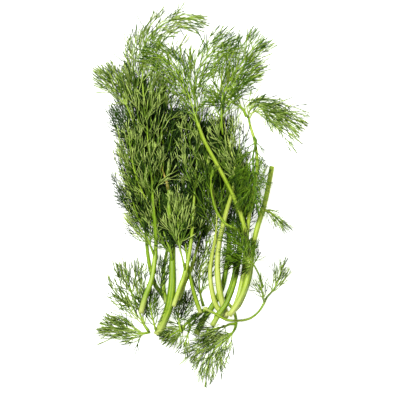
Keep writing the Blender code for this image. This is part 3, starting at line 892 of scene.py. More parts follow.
class Canopy:
    """The top of all the fronds: leaves far under it are painted dark, as deep shade."""

    def __init__(self, nodes):
        spots = np.concatenate([spots_over(node) for node in nodes])
        self.low, size, cells = gridded(spots, CANOPY_MARGIN)
        high = np.zeros(size)
        np.maximum.at(high, cells, spots[:, 2])
        for axis in (0, 1):
            high = np.maximum(high, np.maximum(*beside(high, axis)))
        self.high = mean_round(high, 2)
        within = (high > 0).astype(float)
        for _ in range(CANOPY_EDGE):
            for axis in (0, 1):
                within = np.minimum(within, np.minimum(*beside(within, axis)))
        self.within = mean_round(within, 3)

    def depth(self, places):
        """How deep a place lies; near the canopy's edge, where light comes in, nothing is deep."""
        deep = between_cells(self.high, self.low, places) - places[..., 2]
        return deep * between_cells(self.within, self.low, places)

    def shade(self, places):
        """How light leaves are at a place under painted shade: 1 in the open."""
        return np.interp(self.depth(places), *SHADE)


class Lie:
    """How high a piece of the frame lies, at any place seen from above."""

    def __init__(self, node):
        spots = spots_over(node)
        self.low, size, cells = gridded(spots, LIE_MARGIN)
        heap = np.zeros(size)
        count = np.zeros(size)
        np.add.at(heap, cells, spots[:, 2])
        np.add.at(count, cells, 1.0)
        full = count > 0
        heap[full] /= count[full]
        count[full] = 1.0
        high = np.full(size, np.nan)
        for half in LIE_REACHES:
            total, cover = spread_out(heap, half), spread_out(count, half)
            fill = np.isnan(high) & (cover > 0.5)
            high[fill] = total[fill] / cover[fill]
        high[np.isnan(high)] = np.nanmean(high)
        self.high = high

    def at(self, spots):
        return between_cells(self.high, self.low, spots)


# Laying shapes along lines


def bend_along(shape, line, girths):
    """The straight shape laid along a line: x from 0 to 1 runs from its first place to its last."""
    along = run_of(line)
    share = shape.places[:, 0]
    middles = at_run(line, along, share * along[-1])
    ways = np.gradient(line, axis=0)
    ways = at_run(ways, along, share * along[-1])
    ways /= np.linalg.norm(ways, axis=1)[:, None]
    sides = np.stack([-ways[:, 1], ways[:, 0], np.zeros(len(ways))], axis=1)
    sides /= np.maximum(np.linalg.norm(sides, axis=1), 1e-6)[:, None]
    ups = np.cross(ways, sides)
    girth = np.interp(share, np.linspace(0, 1, len(girths)), girths)[:, None]
    return middles + girth * (shape.places[:, 1:2] * sides + shape.places[:, 2:3] * ups)


class Bundle:
    """Gathers what grows together into one piece."""

    def __init__(self):
        self.places, self.faces, self.marks, self.kinds = [], [], [], []
        self.count = 0

    def add(self, places, faces, marks, kinds=None):
        """Marks are two numbers for each corner of each face, which the finish reads."""
        self.places.append(places)
        self.faces.append(faces + self.count)
        self.marks.append(marks)
        self.kinds.append(np.zeros(len(faces), int) if kinds is None else kinds)
        self.count += len(places)

    def make(self, name, finishes, node, slot, canopy=None, shaded=1.0):
        """The piece that takes a node's place; under a canopy its leaves are painted darker, as
        shade.
        """
        places = np.concatenate(self.places)
        top = cad_box[1].z / MM - TOP_CLEAR
        places[:, 2] = np.clip(places[:, 2], FLOOR_CLEAR * 0.4, top)
        faces = np.concatenate(self.faces)
        marks = np.concatenate(self.marks)
        # Painted shade: the tints of leaves darken by how deep they lie under the canopy
        if canopy is not None:
            leafy = np.concatenate(self.kinds) == 0
            marks[leafy, :, 0] *= 1 - shaded * (1 - canopy.shade(places[faces[leafy]]))
        mesh = bpy.data.meshes.new(name)
        mesh.vertices.add(len(places))
        mesh.vertices.foreach_set("co", (places * MM).ravel())
        mesh.loops.add(len(faces) * 3)
        mesh.loops.foreach_set("vertex_index", faces.ravel().astype(np.int32))
        mesh.polygons.add(len(faces))
        mesh.polygons.foreach_set("loop_start", np.arange(0, len(faces) * 3, 3, dtype=np.int32))
        for finish in finishes:
            mesh.materials.append(finish)
        mesh.polygons.foreach_set("material_index", np.concatenate(self.kinds).astype(np.int32))
        mesh.update(calc_edges=True)
        layer = mesh.uv_layers.new(name="OFBake")
        layer.data.foreach_set("uv", marks.ravel())
        mesh.shade_smooth()
        obj = bpy.data.objects.new(name, mesh)
        bpy.context.scene.collection.objects.link(obj)
        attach(obj, "root")
        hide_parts(node)


def stem_marks(shape, sides, low, high):
    """Round the stem and along it, for each corner; the cut ends have a strip of their own.

    Also the kind of each face: 0 on the side, 1 on the ends.
    """
    share, y, z = shape.places.T
    corner = shape.faces
    turn = (np.arctan2(y, -z) / (2 * math.pi)) % 1.0
    turn = turn[corner]
    over = turn.max(axis=1) - turn.min(axis=1) > 0.5
    turn[over] += (turn[over] < 0.5) * 1.0
    turn /= 1 + 1.0 / sides
    marks = np.stack([turn, low + share[corner] * (high - low)], axis=2)
    ends = share[corner].max(axis=1) - share[corner].min(axis=1) < 1e-4
    ends |= (share[corner].max(axis=1) < 0.012) & (np.hypot(y, z)[corner].min(axis=1) < 0.86)
    marks[ends, :, 0] = 0.5 + 0.4 * y[corner][ends]
    marks[ends, :, 1] = high + (1 - high) * (0.5 + 0.4 * z[corner][ends])
    return marks, ends.astype(int)


def leaf_marks(tint, variety):
    """A leaf's two marks, kept inside the ranges that they have."""
    return np.clip(tint, 0.01, 0.99), LEAF_MARKS * np.clip(variety, 0.01, 0.99)


def add_sprigs(bundle, shape, hand, tip, sprigs):
    """Copies of one sprig, each at its own place and turned its own way; hand -1 mirrors them."""
    x, y, z = (shape.places / MM).T
    y = y * hand
    faces = shape.faces if hand > 0 else shape.faces[:, ::-1]
    heading, pitch, roll = sprigs.heading, sprigs.pitch, sprigs.roll
    way = np.stack(
        [np.cos(heading) * np.cos(pitch), np.sin(heading) * np.cos(pitch), np.sin(pitch)], axis=1
    )
    side = np.stack([-np.sin(heading), np.cos(heading), np.zeros(len(heading))], axis=1)
    up = np.cross(way, side)
    turned = side * np.cos(roll)[:, None] + up * np.sin(roll)[:, None]
    lift = -side * np.sin(roll)[:, None] + up * np.cos(roll)[:, None]
    size = sprigs.size[:, None, None]
    places = sprigs.at[:, None, :] + size * (
        x[None, :, None] * way[:, None, :] + y[None, :, None] * turned[:, None, :]
    )
    places = places + sprigs.girth[:, None, None] * z[None, :, None] * lift[:, None, :]
    count = len(shape.places)
    tint = sprigs.marks[:, 0:1] + tip * np.clip(x / SPRIG, 0, 1)[None, :]
    variety = sprigs.marks[:, 1:2] + 0.006 * (np.arange(count) % 3)[None, :]
    marks = np.stack(leaf_marks(tint, variety), axis=2)[:, faces]
    whole = faces[None] + (np.arange(len(heading)) * count)[:, None, None]
    bundle.add(places.reshape(-1, 3), whole.reshape(-1, 3), marks.reshape(-1, 3, 2))


# Growing fronds


def between(ends, share):
    """What lies at a share of the way between two values."""
    return ends[0] + (ends[1] - ends[0]) * share


def is_airy(frond):
    """Airy fronds let the light through, so they cast no painted shade on others."""
    return frond.finish == BRIGHT or frond.name.startswith("spray") or frond.name in AIRY_FRONDS


def look_of(frond):
    """How a frond is leaved, by its place in the bunch."""
    if not is_airy(frond):
        look = CLOSE_LOOK
        if frond.name in UNDER:
            look = look._replace(buried=ALWAYS)
        if frond.name in LEAFY_FOOT:
            look = look._replace(over=EDGE_OVER)
        return look
    look = AIRY_LOOK if frond.finish == LEAF else AIRY_LOOK._replace(tint=BRIGHT_TINT)
    if frond.name in DARKER:
        look = look._replace(tint=0.22, size=1.0)
    if frond.name == "frond_trailing":
        look = look._replace(size=1.05)
    if frond.name in CURLY:
        look = look._replace(tint=0.24, over=0.34, step=CURLY_STEP, size=0.8, forks=(0.25, 0.5))
    return look


def width_share(t, narrowing):
    """How long the pinnae are at each share of the frond's length."""
    opening = 0.62 + 0.38 * math.sin(min(1.0, t / 0.3) * math.pi / 2)
    return opening * (1 - narrowing * t**1.7)


def pairs_of_ribs(frond, leafy):
    """How many pairs of ribs grow on a frond's leafy length."""
    pitch = max(6.0, min(12.5, 0.98 * frond.half))
    thick = 0.8 + 0.7 * THICKNESS.get(frond.name, 1.0)
    pairs = int(thick * max(2, int(round(leafy / pitch))))
    if frond.half > WIDE_FROND:
        pairs = max(4, int(0.85 * pairs))
    return pairs


class Growth:
    """A frond while it grows: ribs are laid at once, and sprigs when all their places are known."""

    def __init__(self, frond, line, bare, lie, canopy, shapes):
        self.frond, self.line, self.bare = frond, line, bare
        self.lie, self.canopy, self.shapes = lie, canopy, shapes
        self.along = run_of(line)
        self.total = self.along[-1]
        self.look = look_of(frond)
        self.airy = self.look.airy
        self.narrowing = NARROWINGS.get(frond.name, NARROWING)
        self.covered = not self.airy and float(np.median(canopy.depth(line))) > 2 * BURIED
        self.draw = random.Random(f"{frond.name} {SEED}")
        self.bundle = Bundle()
        self.sprigs = []

    def add_rib(self, line, girths, tint, variety, shape="rib"):
        """A rib of leaf green: its marks are a tint and a variety."""
        shape = self.shapes[shape]
        share, y, z = shape.places.T
        # Its tint darkens to its tip; its upper side is a little paler and its underside darker,
        # painted light and shade
        marks = leaf_marks(tint - 0.12 * share + 0.04 * z, variety + 0.012 * y)
        marks = np.stack(marks, axis=1)[shape.faces]
        self.bundle.add(bend_along(shape, line, girths), shape.faces, marks)

    def rib_line(self, parent, where, hand, length, angles, high):
        """It leaves its parent at an angle and turns to run beside it, on what lies under it."""
        along = run_of(parent)
        total = along[-1]
        step = length / (RIB_PLACES - 1)
        turn = np.radians(np.linspace(*angles, RIB_PLACES - 1)) * self.draw.uniform(0.85, 1.15)
        ahead = np.clip(where + np.cumsum(step * np.cos(turn)), 0, total)
        ways = at_run(parent, along, np.clip(ahead + WAY_REACH, 0, total))
        ways = ways - at_run(parent, along, ahead.clip(0, total - 1) - WAY_REACH)
        heading = np.unwrap(np.arctan2(ways[:, 1], ways[:, 0])) + hand * turn
        start = at_run(parent, along, min(where, total))
        steps = step * np.stack([np.cos(heading), np.sin(heading)], axis=1)
        flat = start[:2] + np.vstack([[0, 0], np.cumsum(steps, axis=0)])
        heights = evened_out(self.lie.at(flat) + high, 1)
        near = np.clip(np.linspace(0, 1, RIB_PLACES) * length / RIB_RISE, 0, 1)
        heights = start[2] * (1 - near) + heights * near
        return np.column_stack([flat, np.maximum(heights, FLOOR_CLEAR + RIB)])

    def sprigs_along(self, line, first, size, buried):
        """Sprigs on both sides of a rib: some stand over the others, longer and paler with painted
        light.
        """
        draw, look = self.draw, self.look
        along = run_of(line)
        total = along[-1]
        where = first * total
        hand = draw.choice((-1, 1))
        step = DEEP_STEP if buried else look.step
        girths = AIRY_GIRTHS if look.airy else CLOSE_GIRTHS
        ends = 0
        while ends < len(END_ANGLES):
            at_end = where >= total - NEAR_TIP
            ends += at_end
            share = min(1.0, where / total)
            place = at_run(line, along, min(where, total - 0.3))
            ahead = at_run(line, along, min(total, where + 1.0))
            ahead = ahead - at_run(line, along, max(0, min(where, total) - 1.0))
            way = math.atan2(ahead[1], ahead[0])
            slope = math.atan2(ahead[2], math.hypot(ahead[0], ahead[1]))
            angle = math.radians(between(SPRIG_ANGLES, share) * draw.uniform(0.8, 1.2))
            if at_end:
                angle = math.radians(END_ANGLES[ends - 1])
            over = not buried and draw.random() < OVER_SHARE
            length = size * (1 - 0.2 * share) * draw.uniform(0.8, 1.15)
            # Deep sprigs are painted dark as shade; those over the others are painted paler as
            # light, the rest a little darker as shade
            tint = PAINTED_SHADE_TINT if buried else look.tint + (look.over if over else UNDER_SHADE_TINT)
            pitch = draw.gauss(OVER_PITCH if over else 0, PITCH_SPREAD)
            self.sprigs.append(
                (
                    *place,
                    way + hand * angle,
                    slope * 0.5 + math.radians(pitch),
                    math.radians(draw.gauss(0, ROLL_SPREAD)),
                    length * (1.0 if over else UNDER_LENGTH),
                    girths[0] if over else girths[1],
                    tint + draw.gauss(0, TINT_SPREAD),
                    draw.random(),
                    hand,
                    buried,
                )
            )
            hand = -hand
            where += 0.5 * step * draw.uniform(0.8, 1.2)

    def grow_pinna(self, parent, where, hand, length, angles):
        """A rib that forks into lesser ribs, all of them set with sprigs."""
        draw, look = self.draw, self.look
        high = draw.uniform(*RIB_LIFTS)
        rib = self.rib_line(parent, where, hand, length, angles, high)
        buried = float(np.median(self.canopy.depth(rib))) > look.buried
        # A deep rib is painted dark as shade
        tint = PAINTED_SHADE_RIB_TINT if buried else look.tint + RIB_TINT
        girths = np.linspace(RIB, RIB_TIP, 6)
        self.add_rib(rib, girths, tint, draw.random())
        size = look.size * min(1.05, 0.62 + 0.03 * length)
        self.sprigs_along(rib, DEEP_FIRST_SPRIG if buried else FIRST_SPRIG, size, buried)
        total = length_of(rib)
        side = draw.choice((-1, 1))
        for share in look.forks:
            spot = total * (share + draw.uniform(-0.05, 0.05))
            reach = (total - spot) * draw.uniform(0.65, 0.9)
            if reach > SHORTEST_FORK:
                fork_high = high + draw.uniform(*FORK_LIFTS)
                spread = (draw.uniform(24, 38), draw.uniform(2, 10))
                fork = self.rib_line(rib, spot, side, reach, spread, fork_high)
                self.add_rib(fork, RIB_FORK_GIRTH * girths, tint, draw.random())
                self.sprigs_along(fork, FIRST_SPRIG, size * RIB_FORK_SPRIGS, buried)
            side = -side

    def grow_rachis(self, foot_radius):
        """It flares at its foot, and is leaf green where it hardly shows; where it is covered, that
        green is painted dark as shade.
        """
        reach = np.linspace(0, self.total - RACHIS_SHORT, 40)
        girths = RACHIS + (RACHIS_TIP - RACHIS) * reach / self.total
        flare = np.clip(1 - reach / FLARE, 0, 1)
        girths = np.maximum(girths, foot_radius * flare + girths * (1 - flare))
        line = at_run(self.line, self.along, reach)
        if self.covered or self.frond.name in GREEN_RACHIS:
            tint = PAINTED_SHADE_RIB_TINT if self.covered else GREEN_RACHIS[self.frond.name]
            self.add_rib(line, girths, tint, 0.5, "rachis")
            return
        shape = self.shapes["rachis"]
        marks, _ = stem_marks(shape, RACHIS_SIDES, *RACHIS_MARKS)
        kinds = np.ones(len(shape.faces), int)
        self.bundle.add(bend_along(shape, line, girths), shape.faces, marks, kinds)

    def grow_side_stems(self):
        """The small leafy stems that come with the frond, each with some pairs of ribs."""
        for route, half in SIDE_STEMS.get(self.frond.name, ()):
            flat = evenly(curve_through(route) + MIDDLE)
            stem = np.column_stack([flat, evened_out(self.lie.at(flat), 4)])
            self.add_rib(stem, np.linspace(RIB, RIB_TIP, 6), self.look.tint, 0.5)
            span = length_of(stem)
            for k in range(SIDE_STEM_PAIRS):
                for hand in (-1, 1):
                    where = span * (0.1 + 0.2 * k)
                    length = max(SHORTEST_RIB, min(half / 0.6, span - where - SHORTEST_RIB))
                    self.grow_pinna(stem, where, hand, length, SIDE_STEM_ANGLES)
            self.sprigs_along(stem, 0.2, self.look.size, False)

    def grow_pinnae(self):
        """Pairs of pinnae from the frond's foot to its tip; the last ones stop short of its end."""
        frond, draw, bare = self.frond, self.draw, self.bare
        leafy = self.total - min(10.0, 0.9 * frond.half) - bare
        pairs = pairs_of_ribs(frond, leafy)
        for k in range(pairs):
            where = bare + leafy * (k + 0.25 + draw.uniform(-0.2, 0.2)) / pairs
            where = max(bare * 0.98, where)
            share = (where - bare) / (self.total - bare)
            angle = between(PINNA_ANGLES, share)
            for hand in (-1, 1):
                wide = math.sin(math.radians(0.72 * angle)) / (1.2 if self.covered else 1.0)
                wanted = frond.half * width_share(share, self.narrowing) / wide
                room = self.total - where - (7.0 if self.airy else 4.0)
                length = max(SHORTEST_RIB, min(wanted * draw.uniform(0.8, 1.05), room) - 5.0)
                spread = (angle * draw.uniform(0.9, 1.15), angle * 0.4)
                if frond.name in ONE_SIDED:
                    length *= ONE_SIDED[frond.name][hand > 0]
                if frond.name in CURLY:
                    length = max(0.5 * frond.half, length)
                    spread = (draw.uniform(40, 80), draw.uniform(20, 70))
                self.grow_pinna(self.line, where, hand, length, spread)

    def grow_hub(self):
        """Long ribs that fan out where a wide green frond begins."""
        frond, leafy = self.frond, self.total - self.bare
        if frond.half <= WIDE_FROND or frond.finish != LEAF:
            return
        self.look = self.look._replace(forks=HUB_FORKS)
        for angle, share in HUB:
            for hand in (-1, 1):
                length = share * leafy * self.draw.uniform(0.85, 1.1)
                wanted = frond.half / math.sin(math.radians(0.6 * angle))
                length = min(length, wanted, leafy - 6.0) - 4.0
                self.grow_pinna(self.line, self.bare, hand, length, (angle, angle * 0.2))

    def grow_tip(self):
        """Sprigs on the rachis itself, up to its end."""
        low = self.bare + (self.total - self.bare) * (0.3 if self.airy else 0.03)
        short = 15.0 if self.frond.name in CURLY else 10.0 if self.airy else 7.0
        tip = at_run(self.line, self.along, np.linspace(low, self.total - short, 16))
        self.sprigs_along(tip, 0.0, 1.0 if self.narrowing < 0.8 else 0.9, self.covered)

    def set_sprigs(self):
        """A copy of one of the modelled sprigs at each place, short enough for the frame's box."""
        table = np.array(self.sprigs)
        at, (heading, pitch, roll, size, girth, tint, _, side, deep) = table[:, :3], table[:, 3:].T
        ways = np.stack([np.cos(heading), np.sin(heading)], axis=1)
        reaches = SPRIG * size[:, None] * ways
        room = np.array([cad_box[1].x, cad_box[1].y]) / MM + PAST_BOX
        room = np.where(reaches > 0, room - at[:, :2], room + at[:, :2])
        size *= np.clip((room / np.maximum(np.abs(reaches), 0.01)).min(axis=1), 0.35, 1)
        tips = np.column_stack([at[:, :2] + SPRIG * size[:, None] * ways, at[:, 2]])
        # Deep sprigs whose tips still show lose most of their painted shade
        showing = (deep > 0) & (self.canopy.depth(tips) < SHOWING)
        tint[showing] += self.look.tint + SHOWING_TINT
        deep = (deep > 0) & ~showing
        kinds = range(len(self.shapes["sprigs"]))
        odds = AIRY if self.airy else CLOSE
        kind = np.array([self.draw.choices(kinds, odds)[0] for _ in self.sprigs])
        for name, share in (("sprigs", ~deep), ("painted_shade_sprigs", deep)):
            for k, shape in enumerate(self.shapes[name]):
                for hand in (-1, 1):
                    mine = (kind == k) & (side == hand) & share
                    if mine.any():
                        parts = (at, heading, pitch, roll, size, girth, table[:, 8:10])
                        sprigs = Sprigs(*(part[mine] for part in parts))
                        add_sprigs(self.bundle, shape, hand, self.look.tip, sprigs)


def grow_frond(frond, line, bare, foot_radius, lie, canopy, shapes, finishes):
    """The rachis with its pinnae, each a rib full of sprigs."""
    lie.high += CURLY.get(frond.name, 0.0)
    if frond.name in LEAFY_FOOT:
        bare *= LEAFY_FROM
        foot_radius = RACHIS
        line = line.copy()
        sunk = line[:, 2] - SUNK_FOOT * np.exp(-run_of(line) / FLARE)
        line[:, 2] = np.maximum(sunk, FLOOR_CLEAR + RACHIS)
    growth = Growth(frond, line, bare, lie, canopy, shapes)
    growth.grow_rachis(foot_radius)
    growth.grow_side_stems()
    growth.grow_pinnae()
    growth.grow_hub()
    growth.grow_tip()
    growth.set_sprigs()
    shaded = AIRY_SHADE if growth.airy else 1.0
    name = frond.name + "_leafy"
    growth.bundle.make(name, finishes, frond.name, frond.finish, canopy, shaded)


# Laying the bunch


def joined_route(first, second):
    """One route from two, without the place that they share twice."""
    return list(first) + [p for p in second if tuple(p) != tuple(first[-1])]


def settled(lie, flat, reach):
    """A line's heights over a piece of the frame, evened out twice."""
    return evened_out(evened_out(lie.at(flat), reach), reach)


def dress_stalk(stalk, flat, canopy, branches, shapes, finishes):
    """A ridged stalk, a little thicker where a frond branches off it."""
    line = np.column_stack([flat, settled(Lie(stalk.name), flat, 7)])
    top = stalk.top
    if stalk.name in SHOWN:
        run = run_of(line)
        upper = np.clip((run - run[-1] + SHOWN[stalk.name]) / 10.0, 0, 1)
        line[:, 2] += evened_out(np.clip(canopy.depth(line) + 0.4, 0, 7) * upper, 4)
        top = SHOWN_TOP
    share = np.linspace(0, 1, 80)
    taper = np.clip((share - TAPER_FROM) / (1 - TAPER_FROM), 0, 1)
    girths = stalk.foot + (top - stalk.foot) * taper
    for place in branches:
        near = np.exp(-(((share - place) * length_of(line) / SWELL_REACH) ** 2))
        girths = girths * (1 + BRANCH_SWELL * near)
    radius = np.interp(np.linspace(0, 1, len(line)), share, girths)
    line[:, 2] = np.maximum(line[:, 2], radius * 0.97)
    shape = shapes["stalk"]
    bundle = Bundle()
    marks, kinds = stem_marks(shape, STALK_SIDES, *STALK_MARKS)
    bundle.add(bend_along(shape, line, girths), shape.faces, marks, kinds)
    skin = stalk.finish
    if stalk.name in FRESH_STALKS:
        skin = "stem_fresh"
    if stalk.name in DEEP_STALKS:
        skin = "stem_deep"
    skins = [finishes[skin], finishes["pith"]]
    bundle.make(stalk.name + "_ridged", skins, stalk.name, stalk.finish)
    return line


def nearest_stalk(spot, lines):
    """The stalk that passes closest to a place, if any does: how far off, which, and where."""
    best = None
    for name, line in lines.items():
        away = np.linalg.norm(line[:, :2] - spot, axis=1)
        k = int(np.argmin(away))
        if away[k] < BRANCH_REACH and (best is None or away[k] < best[0]):
            best = (away[k], name, k)
    return best


def branch_places(fronds, flat):
    """Where fronds branch off a stalk, as shares of its length."""
    places = []
    for frond in fronds:
        if frond.bare is not None:
            away = np.linalg.norm(flat - (np.array(frond.bare[0]) + MIDDLE), axis=1)
            if away.min() < BRANCH_REACH:
                places.append(int(np.argmin(away)) / len(flat))
    return places


def blended_from(height, heights, over):
    """Heights that start at a given one and come into their own over a length."""
    near = np.clip(np.arange(len(heights)) / over, 0, 1)
    return height * (1 - near) + heights * near


def lay_stem(stalk, fronds, lines, canopy, shapes, finishes):
    """A stalk with the frond that it ends in."""
    ending = [frond for frond in fronds if frond.bare is None]
    route = joined_route(stalk.route, ending[0].route if ending else [])
    whole = evenly(curve_through(route) + MIDDLE)
    last = np.array(stalk.route[-1]) + MIDDLE
    meet = int(np.argmin(np.linalg.norm(whole - last, axis=1)))
    flat = whole[: meet + 1]
    branches = branch_places(fronds, flat)
    line = dress_stalk(stalk, flat, canopy, branches, shapes, finishes)
    lines[stalk.name] = line
    for frond in ending:
        skin, over = "rachis_pale" if stalk.finish == PALE else "rachis_green", SETTLING
        if frond.name == AGED:
            skin, over = "rachis_aged", AGED_SETTLING
        lie = Lie(frond.name)
        flat = whole[meet - 2 :]
        heights = blended_from(line[-1][2], settled(lie, flat, 4), over)
        rachis = np.column_stack([flat, heights])
        skins = [finishes[frond.finish], finishes[skin]]
        grow_frond(frond, rachis, LEAFLESS, stalk.top, lie, canopy, shapes, skins)


def lay_branch(frond, lines, canopy, shapes, finishes):
    """A frond on a bare leaf stem of its own, which grows from a stalk if it starts near one."""
    lie = Lie(frond.name)
    flat = evenly(curve_through(joined_route(frond.bare, frond.route)) + MIDDLE)
    bare = length_of(curve_through(frond.bare))
    rachis = np.column_stack([flat, settled(lie, flat, 4)])
    joint = nearest_stalk(np.array(frond.bare[0]) + MIDDLE, lines)
    if joint is not None:
        away, name, k = joint
        foot = lines[name][k]
        rachis = evenly(np.vstack([foot[None], rachis[2:]]))
        bare += away
        rachis[:, 2] = blended_from(foot[2], rachis[:, 2], BRANCH_SETTLING)
    skins = [finishes[frond.finish], finishes["rachis_green"]]
    grow_frond(frond, rachis, bare, PETIOLE, lie, canopy, shapes, skins)


def lay_bunch(shapes, finishes):
    """All the leafy stems, one on another; close fronds put painted shade on what lies under them.
    """
    lines = {}
    canopy = Canopy([frond.name for _, fronds in LAID for frond in fronds if not is_airy(frond)])
    for stalk, fronds in LAID:
        if stalk is not None:
            lay_stem(stalk, fronds, lines, canopy, shapes, finishes)
        for frond in fronds:
            if frond.bare is not None:
                lay_branch(frond, lines, canopy, shapes, finishes)


# Finishes


class Nodes:
    """A finish under making: a Principled shader and the nodes that feed it."""

    def __init__(self, name):
        self.finish = bpy.data.materials.new(name)
        self.finish.use_nodes = True
        self.tree = self.finish.node_tree
        self.shader = self.tree.nodes["Principled BSDF"]

    def node(self, kind, **settings):
        made = self.tree.nodes.new(kind)
        for key, value in settings.items():
            setattr(made, key, value)
        return made

    def link(self, source, target):
        self.tree.links.new(source, target)

    def feed(self, target, value):
        """A socket gets a constant, or another socket's output."""
        if isinstance(value, (int, float, tuple)):
            target.default_value = value
        else:
            self.link(value, target)

    def math(self, operation, *values):
        made = self.node("ShaderNodeMath", operation=operation)
        for k, value in enumerate(values):
            self.feed(made.inputs[k], value)
        return made.outputs[0]

    def ramp(self, factor, places, colours):
        made = self.node("ShaderNodeValToRGB")
        band = made.color_ramp
        while len(band.elements) < len(places):
            band.elements.new(0.5)
        for element, place, colour in zip(band.elements, places, colours):
            element.position = place
            element.color = (*colour, 1.0)
        self.link(factor, made.inputs["Fac"])
        return made.outputs["Color"]

    def noise(self, vector, scale, detail=2.0, rough=0.5):
        made = self.node("ShaderNodeTexNoise")
        made.inputs["Scale"].default_value = scale
        made.inputs["Detail"].default_value = detail
        made.inputs["Roughness"].default_value = rough
        self.link(vector, made.inputs["Vector"])
        return made.outputs["Fac"]

    def spread(self, value, *ends):
        """A value between the first two ends, spread over the last two."""
        made = self.node("ShaderNodeMapRange")
        for name, number in zip(("From Min", "From Max", "To Min", "To Max"), ends):
            made.inputs[name].default_value = number
        self.link(value, made.inputs["Value"])
        return made.outputs["Result"]

    def mix(self, factor, first, second, blend="MIX"):
        made = self.node("ShaderNodeMix", data_type="RGBA", blend_type=blend)
        for name, value in (("Factor", factor), ("A", first), ("B", second)):
            if isinstance(value, tuple):
                value = (*value, 1.0)
            self.feed(made.inputs[name], value)
        return made.outputs["Result"]

    def vector(self, *parts):
        made = self.node("ShaderNodeCombineXYZ")
        for k, value in enumerate(parts):
            self.feed(made.inputs[k], value)
        return made.outputs[0]

    def marks(self):
        """The two marks that a piece carries."""
        uv = self.node("ShaderNodeUVMap", uv_map="OFBake")
        apart = self.node("ShaderNodeSeparateXYZ")
        self.link(uv.outputs["UV"], apart.inputs[0])
        return apart.outputs[0], apart.outputs[1]

    def place(self):
        return self.node("ShaderNodeTexCoord").outputs["Object"]

    def bump(self, height, strength):
        made = self.node("ShaderNodeBump")
        made.inputs["Strength"].default_value = strength
        made.inputs["Distance"].default_value = BUMP * MM
        self.link(height, made.inputs["Height"])
        self.link(made.outputs["Normal"], self.shader.inputs["Normal"])

    def paint(self, colour):
        self.link(colour, self.shader.inputs["Base Color"])

    def gloss(self, roughness):
        self.link(roughness, self.shader.inputs["Roughness"])


def leaf_finish(name, colours, yellowing):
    """Feathery leaf: from deep to pale by its tint, which also carries painted light and shade, and
    in places yellower by its variety.
    """
    make = Nodes(name)
    tint, variety = make.marks()
    colour = make.ramp(tint, LEAF_PLACES, colours)
    shift = make.noise(make.vector(make.math("MULTIPLY", variety, 50.0), 0.0, 0.0), 1.0, 1.0)
    yellower = make.spread(shift, 0.4, 0.75, 0.0, yellowing)
    make.paint(make.mix(yellower, colour, (1.2, 1.0, 0.75), "MULTIPLY"))
    make.gloss(make.spread(make.noise(make.place(), 900.0), 0.3, 0.7, 0.42, 0.6))
    make.shader.inputs["Specular IOR Level"].default_value = 0.12
    return make.finish


def stalk_finish(name, colours, foot, sides, low, high):
    """Ridged stalk: streaks and fine ridges along it, and another colour at the foot."""
    make = Nodes(name)
    around, along = make.marks()
    along = make.spread(along, low, high, 0.0, 1.0)
    turn = make.math("MULTIPLY", around, 2 * math.pi * (1 + 1 / sides))
    streaks = make.noise(
        make.vector(
            make.math("MULTIPLY", make.math("COSINE", turn), 2.2),
            make.math("MULTIPLY", make.math("SINE", turn), 2.2),
            make.math("MULTIPLY", along, 0.8),
        ),
        1.0,
        4.0,
        0.65,
    )
    ridge = make.math("SINE", make.math("MULTIPLY", turn, sides / 2))
    blotch = make.noise(make.place(), 70.0, 3.0)
    level = make.math("ADD", streaks, make.math("MULTIPLY", ridge, 0.05))
    uneven = make.math("SUBTRACT", blotch, 0.5)
    level = make.math("ADD", level, make.math("MULTIPLY", uneven, 0.35))
    colour = make.ramp(level, STEM_PLACES, colours)
    near_foot = make.math("ADD", along, make.math("MULTIPLY", uneven, 0.1))
    colour = make.mix(make.spread(near_foot, 0.0, 0.16, 0.75, 0.0), colour, foot)
    make.paint(colour)
    make.gloss(make.spread(streaks, 0.3, 0.7, 0.3, 0.48))
    make.bump(make.math("ADD", ridge, make.math("MULTIPLY", streaks, 2.0)), 0.25)
    make.shader.inputs["Specular IOR Level"].default_value = 0.25
    return make.finish


def pith_finish():
    """The pale, grainy pith of the cut ends."""
    make = Nodes("pith")
    grain = make.noise(make.place(), 1500.0, 4.0)
    make.paint(make.ramp(grain, (0.3, 0.7), ((0.42, 0.40, 0.13), (0.62, 0.60, 0.30))))
    make.gloss(make.spread(grain, 0.3, 0.7, 0.55, 0.75))
    make.bump(grain, 0.3)
    return make.finish


def stalk_skin(name, colours, foot):
    return stalk_finish(name, colours, foot, STALK_SIDES, *STALK_MARKS)


def rachis_skin(name, colours):
    return stalk_finish(name, colours, colours[1], RACHIS_SIDES, *RACHIS_MARKS)


def make_finishes():
    """All the finishes, by the names that fronds and stalks give them."""
    return {
        LEAF: leaf_finish("frond_green_leaf", GREEN_LEAF, 0.45),
        BRIGHT: leaf_finish("frond_bright_leaf", BRIGHT_LEAF, 0.5),
        GREEN: stalk_skin("stem_green_skin", GREEN_STEM, (0.50, 0.55, 0.16)),
        PALE: stalk_skin("stem_pale_skin", PALE_STEM, (0.60, 0.62, 0.24)),
        "rachis_green": rachis_skin("rachis_green", GREEN_STEM),
        "rachis_pale": rachis_skin("rachis_pale", PALE_STEM),
        "stem_fresh": stalk_skin("stem_fresh_skin", FRESH_STEM, (0.50, 0.55, 0.16)),
        "stem_deep": stalk_skin("stem_deep_skin", DEEP_STEM, (0.40, 0.48, 0.10)),
        "rachis_aged": rachis_skin("rachis_aged", AGED_STEM),
        "pith": pith_finish(),
    }


# The room


